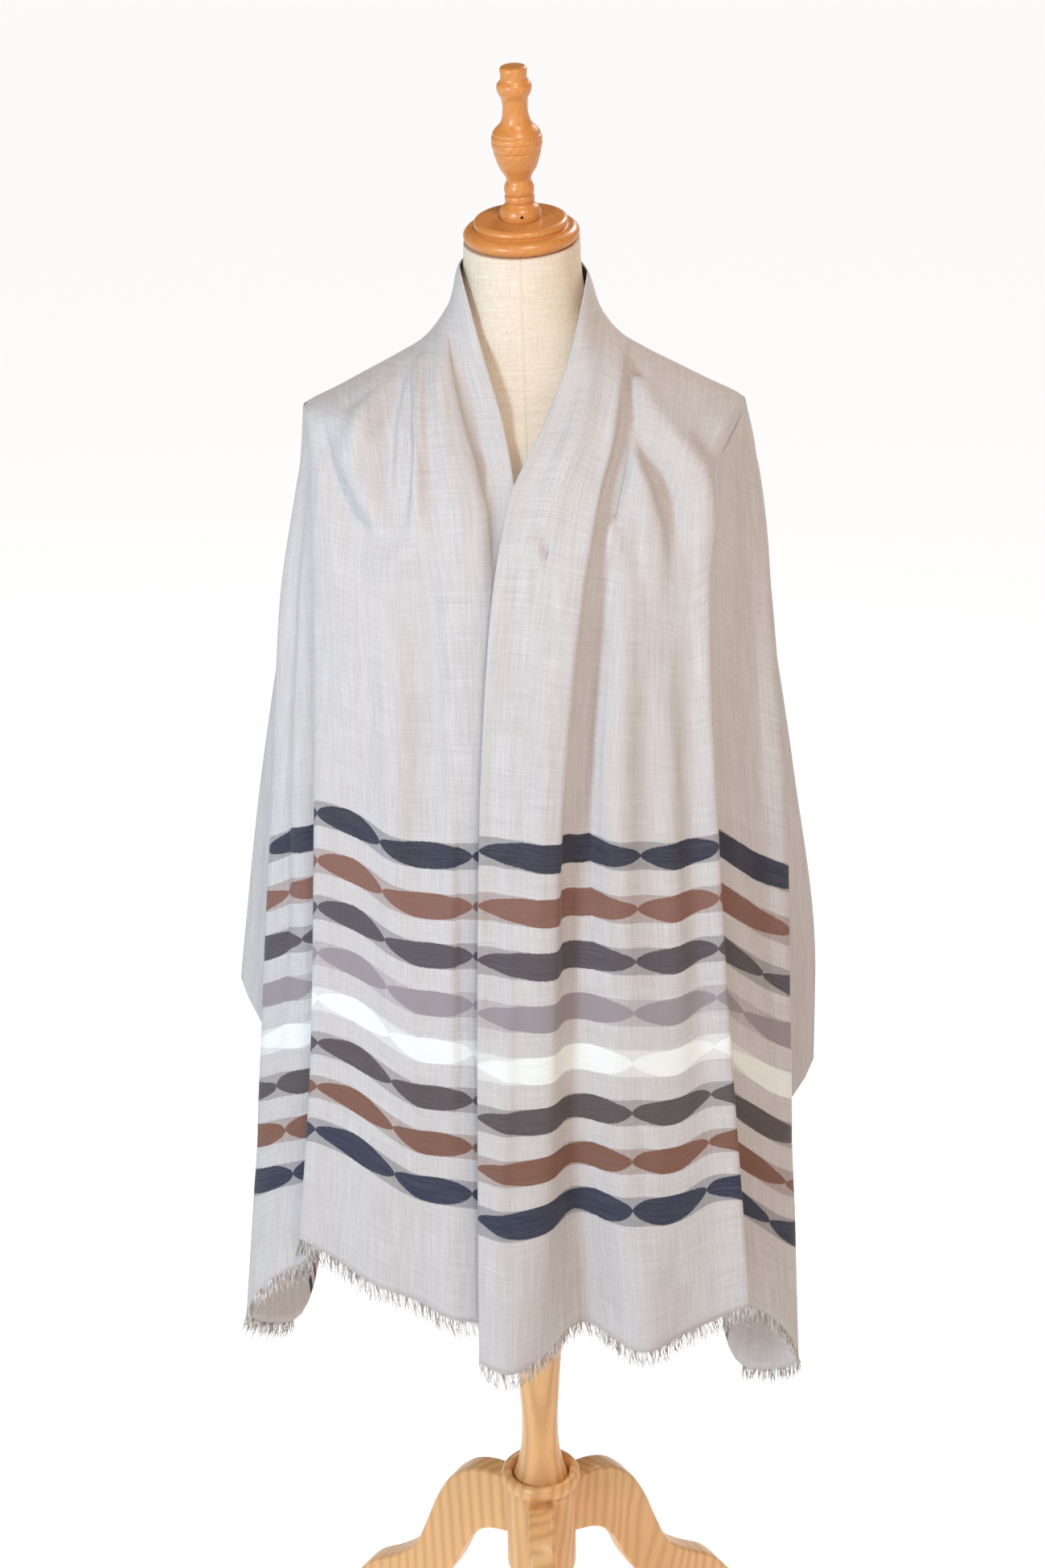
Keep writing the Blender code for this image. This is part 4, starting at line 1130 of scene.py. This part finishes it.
# %% [markdown]
# ## The cloth
# Modal yarn is soft and slightly uneven: thin dark and light slubs run both ways, and the ground
# is a silver-grey melange with a low sheen. Noise stretched along one direction gives slubs, so
# two of them are laid across each other. The weave's map is in metres, so each size is real.

# %% The ground weave
cloth = Finish("shawl_cloth_weave", Roughness=0.70, Sheen_Weight=0.10, Sheen_Roughness=0.40,
               Specular_IOR_Level=0.15)
weave = cloth.node("ShaderNodeUVMap", {"uv_map": "weave"})
warp = cloth.threads(weave, (620.0, 24.0, 1.0), 3.0, 0.6)
weft = cloth.threads(weave, (30.0, 700.0, 1.0), 3.0, 0.6)
broad_warp = cloth.threads(weave, (130.0, 5.0, 1.0), 2.0, 0.5)
broad_weft = cloth.threads(weave, (6.0, 160.0, 1.0), 2.0, 0.5)
melange = cloth.threads(weave, (900.0, 900.0, 1.0), 2.0, 0.7)
clouds = cloth.noise(weave, 9.0, 2.0, 0.5)
slubs = ((warp - 0.5) * 0.80 + (weft - 0.5) * 0.70 + (broad_warp - 0.5) * 0.28
         + (broad_weft - 0.5) * 0.16 + (melange - 0.5) * 0.60)
tone = (0.5 + slubs * 0.80).between(0.0, 1.0)
ground = cloth.mix(tone, srgb(178, 170, 168), srgb(218, 212, 210))
ground = cloth.mix((clouds.between(0.35, 0.70)) * 0.22, ground, srgb(196, 184, 180))

# %% [markdown]
# ### The woven stripes
# Eight stripes cross each end. In every stripe two waves of weft float over each other: between
# them the colour is full, and outside them, to the stripe's straight edges, it is half shown.
# The height above the hem picks the stripe, and the phase of the waves gives its width.

# %% The stripes
STRIPE_HALF = 0.0121
STRIPE_COLOURS = (srgb(42, 43, 60), srgb(130, 88, 74), srgb(80, 72, 77), srgb(150, 138, 142),
                  srgb(238, 237, 232), srgb(82, 72, 73), srgb(122, 80, 62), srgb(38, 43, 64))
place_in_stripes = cloth.node("ShaderNodeUVMap", {"uv_map": "stripe"})
phase, up, _ = cloth.axes(place_in_stripes)
ragged = (cloth.threads(weave, (420.0, 90.0, 1.0), 2.0, 0.7) - 0.5) * 0.0016
count_down = (FIRST_STRIPE + STRIPE_STEP / 2 - up) / STRIPE_STEP
inside = (count_down > 0.0) * (count_down < float(STRIPE_COUNT))
off_centre = abs(count_down.fraction() - 0.5) * STRIPE_STEP + ragged
stripe = cloth.node("ShaderNodeValToRGB", {"ramp": "CONSTANT", "stops": [
    (k / STRIPE_COUNT, colour) for k, colour in enumerate(STRIPE_COLOURS)]}, {0: count_down / STRIPE_COUNT})
wave = (abs((phase * math.pi).sine()) ** 0.55) * STRIPE_HALF
full_colour = (1.0 - (off_centre - wave).between(-0.0005, 0.0007)) * inside
half_colour = (1.0 - off_centre.between(STRIPE_HALF - 0.0006, STRIPE_HALF + 0.0006)) * inside
yarn = (weft - 0.5) * 0.55 + (melange - 0.5) * 0.35 + 0.5
solid = cloth.mix(yarn.between(0.35, 0.80) * 0.22, stripe, srgb(150, 146, 150))
coloured = cloth.mix(half_colour * 0.42, ground, stripe)
coloured = cloth.mix(full_colour * 0.96, coloured, solid)
thread_height = (warp * 0.5 + weft * 0.5 + melange * 0.35) + full_colour * 0.25
cloth_material = cloth.finish(Base_Color=coloured, Normal=cloth.bump(thread_height, 0.00035, 0.55))
dress(cloth_material, shawl)
print("cloth nodes:", len(cloth.tree.nodes))

# %% [markdown]
# ### The fringe's yarn
# The loose ends are the ground's warp, in taupe and off-white. Each strand needs its own tone, so
# a noise that changes fast along the hem and hardly at all down a strand does it.

# %% Fringe yarn
ends = Finish("fringe_yarn", Roughness=0.80, Sheen_Weight=0.20, Specular_IOR_Level=0.25)
spot = ends.place()
tone = ends.threads(spot, (420.0, 420.0, 60.0), 1.0, 0.5)
fine = ends.noise(spot, 1500.0, 2.0, 0.6)
yarn_colour = ends.mix(tone.between(0.40, 0.60), srgb(168, 156, 150), srgb(236, 230, 226))
yarn_colour = ends.mix(fine * 0.22, yarn_colour, srgb(120, 110, 108))
dress(ends.finish(Base_Color=yarn_colour, Normal=ends.bump(fine, 0.0002, 0.5)), fringe_left, fringe_right)

# %% [markdown]
# ## Linen
# The form is covered in cream linen, plain woven, with slubs a little thicker than the shawl's
# and a seam down its centre front, pressed flat. Threads follow x and z on the body.

# %% Linen cover
linen = Finish("cream_linen_cover", Roughness=0.88, Sheen_Weight=0.10, Specular_IOR_Level=0.20)
spot = linen.place()
across, _, high = linen.axes(spot)
down_threads = linen.threads(spot, (900.0, 900.0, 40.0), 2.0, 0.6)
cross_threads = linen.threads(spot, (40.0, 40.0, 1000.0), 2.0, 0.6)
soft = linen.noise(spot, 14.0, 3.0, 0.5)
threads = (down_threads + cross_threads) * 0.5
seam_wander = (linen.threads(spot, (1.0, 1.0, 60.0), 1.0, 0.5) - 0.5) * 0.0006
from_seam = abs(across + seam_wander + (high - 1.40) * 0.02)
seam = 1.0 - from_seam.between(0.0003, 0.0016)
cover = linen.mix(threads.between(0.25, 0.75), srgb(212, 194, 172), srgb(234, 220, 204))
cover = linen.mix(soft.between(0.35, 0.70) * 0.30, cover, srgb(222, 201, 176))
cover = linen.mix(seam * 0.14, cover, srgb(172, 156, 128))
linen_height = threads * 0.6 - seam * 0.5 + (1.0 - from_seam.between(0.002, 0.006)) * 0.2
dress(linen.finish(Base_Color=cover, Normal=linen.bump(linen_height, 0.0005, 0.6)), form)

# %% [markdown]
# ## Wood
# All the wood is pale and straight-grained under varnish. Grain is the tree's rings cut through:
# the distance from a tilted core, bent by noise and turned into bands, gives straight lines on one
# face and pointed arches on another, as on a real turned pole.

# %% Wood finishes


def wood(name, light, dark, ring, tilt, core, rough, coat, grain):
    """Varnished wood: yearly rings round a tilted core, fine pores and a clear coat."""
    made = Finish(name, Specular_IOR_Level=0.45, Coat_Roughness=0.24)
    spot = made.place()
    x, y, z = made.axes(spot)
    warp_noise = made.threads(spot, (11.0, 11.0, 4.0), 2.0, 0.5)
    off_x = x - core[0] - z * tilt[0] + (warp_noise - 0.5) * 0.050
    off_y = y - core[1] - z * tilt[1] + (warp_noise - 0.5) * 0.030
    rings_out = (off_x * off_x + off_y * off_y) ** 0.5 / ring
    bands = (rings_out * 2 * math.pi).sine() * 0.5 + 0.5
    pores = made.threads(spot, (900.0, 900.0, 45.0), 2.0, 0.6)
    figure = made.threads(spot, (9.0, 9.0, 4.0), 2.0, 0.5)
    colour = made.mix((bands ** 1.6) * grain, light, dark)
    colour = made.mix(pores.between(0.50, 0.80) * 0.30, colour, dark)
    colour = made.mix(figure.between(0.35, 0.75) * 0.35, colour, tuple(c * 0.80 for c in light))
    roughness = made.node("ShaderNodeMapRange", {}, {"Value": pores, "To Min": rough, "To Max": rough + 0.14})
    made.shader.inputs["Coat Weight"].default_value = coat
    height = pores * 0.6 + bands * 0.2
    return made.finish(Base_Color=colour, Roughness=roughness, Normal=made.bump(height, 0.00025, 0.35))


dress(wood("honey_varnished_wood", srgb(214, 140, 70), srgb(172, 92, 44), 0.0042, (0.05, 0.10),
           (0.030, 0.020), 0.34, 0.34, 0.20), cap, finial)
dress(wood("pale_varnished_wood", srgb(232, 178, 116), srgb(182, 118, 66), 0.0110, (0.035, 0.075),
           (-0.020, 0.010), 0.36, 0.28, 0.42), pole, ring, hub, *legs)

# %% [markdown]
# ## Studio
# A plain pale floor that runs far back gives the even background. It glows a little, less just in
# front of the form, so the folds keep their shade. A cool soft light stands at the front left, like
# a window, and warmer ones hang above and at the right. The world is pale at the horizon and
# dim above.

# %% Floor, lights and world
deselect()
bpy.ops.mesh.primitive_circle_add(vertices=96, radius=90.0, fill_type="NGON", location=(0, 0, 0))
floor = bpy.context.object
floor.name = "studio_floor"
paper = Finish("studio_paper", Roughness=0.95, Specular_IOR_Level=0.1)
fibre = paper.noise(paper.place(), 60.0, 2.0, 0.5)
paper.shader.inputs["Emission Strength"].default_value = 1.0
wide, depth, _ = paper.axes(paper.place())
out_from_form = (wide * wide + depth * depth) ** 0.5
dim = (1.0 - depth.between(-1.2, 0.8)) * (1.0 - out_from_form.between(2.0, 6.0))
glow = paper.mix(dim, (0.84, 0.84, 0.84), (0.24, 0.20, 0.17))
dress(paper.finish(Base_Color=paper.mix(fibre * 0.2, (0.92, 0.92, 0.92), (0.88, 0.88, 0.88)),
                   Emission_Color=glow), floor)


def soft_light(name, spot, aim, size, power, colour):
    data = bpy.data.lights.new(name, "AREA")
    data.shape, data.size, data.size_y = "RECTANGLE", size[0], size[1]
    data.energy, data.color = power, colour
    lamp = link(name, data)
    way = Vector(aim) - Vector(spot)
    lamp.matrix_world = Matrix.Translation(spot) @ way.to_track_quat("-Z", "Y").to_matrix().to_4x4()


soft_light("key_left", (-1.7, -2.1, 1.9), (0, 0, 0.95), (0.5, 0.7), 54.0, (0.62, 0.82, 1.0))
soft_light("key_top", (0.40, -1.6, 3.2), (0, 0, 1.1), (0.4, 0.4), 30.0, (1.0, 0.88, 0.76))
soft_light("fill_right", (2.0, -2.2, 1.7), (0, 0, 0.9), (1.0, 1.4), 6.0, (1.0, 0.62, 0.34))
soft_light("top_back", (1.1, 1.9, 2.9), (0, 0, 1.1), (0.6, 0.6), 26.0, (1.0, 0.96, 0.92))
bpy.context.scene.view_settings.view_transform = "Standard"
HORIZON, ABOVE = (0.04, (0.80, 0.79, 0.78, 1.0)), (0.36, (0.11, 0.09, 0.075, 1.0))
world = bpy.data.worlds.new("pale_studio")
bpy.context.scene.world = world
world.use_nodes = True
tree = world.node_tree
way_out = tree.nodes.new("ShaderNodeTexCoord")
split = tree.nodes.new("ShaderNodeSeparateXYZ")
rise = tree.nodes.new("ShaderNodeValToRGB")
rise.color_ramp.interpolation = "EASE"
for stop, (height, colour) in zip(rise.color_ramp.elements, (HORIZON, ABOVE)):
    stop.position, stop.color = height, colour
tree.links.new(way_out.outputs["Generated"], split.inputs["Vector"])
tree.links.new(split.outputs["Z"], rise.inputs["Fac"])
tree.links.new(rise.outputs["Color"], tree.nodes["Background"].inputs["Color"])
tree.nodes["Background"].inputs["Strength"].default_value = 1.0
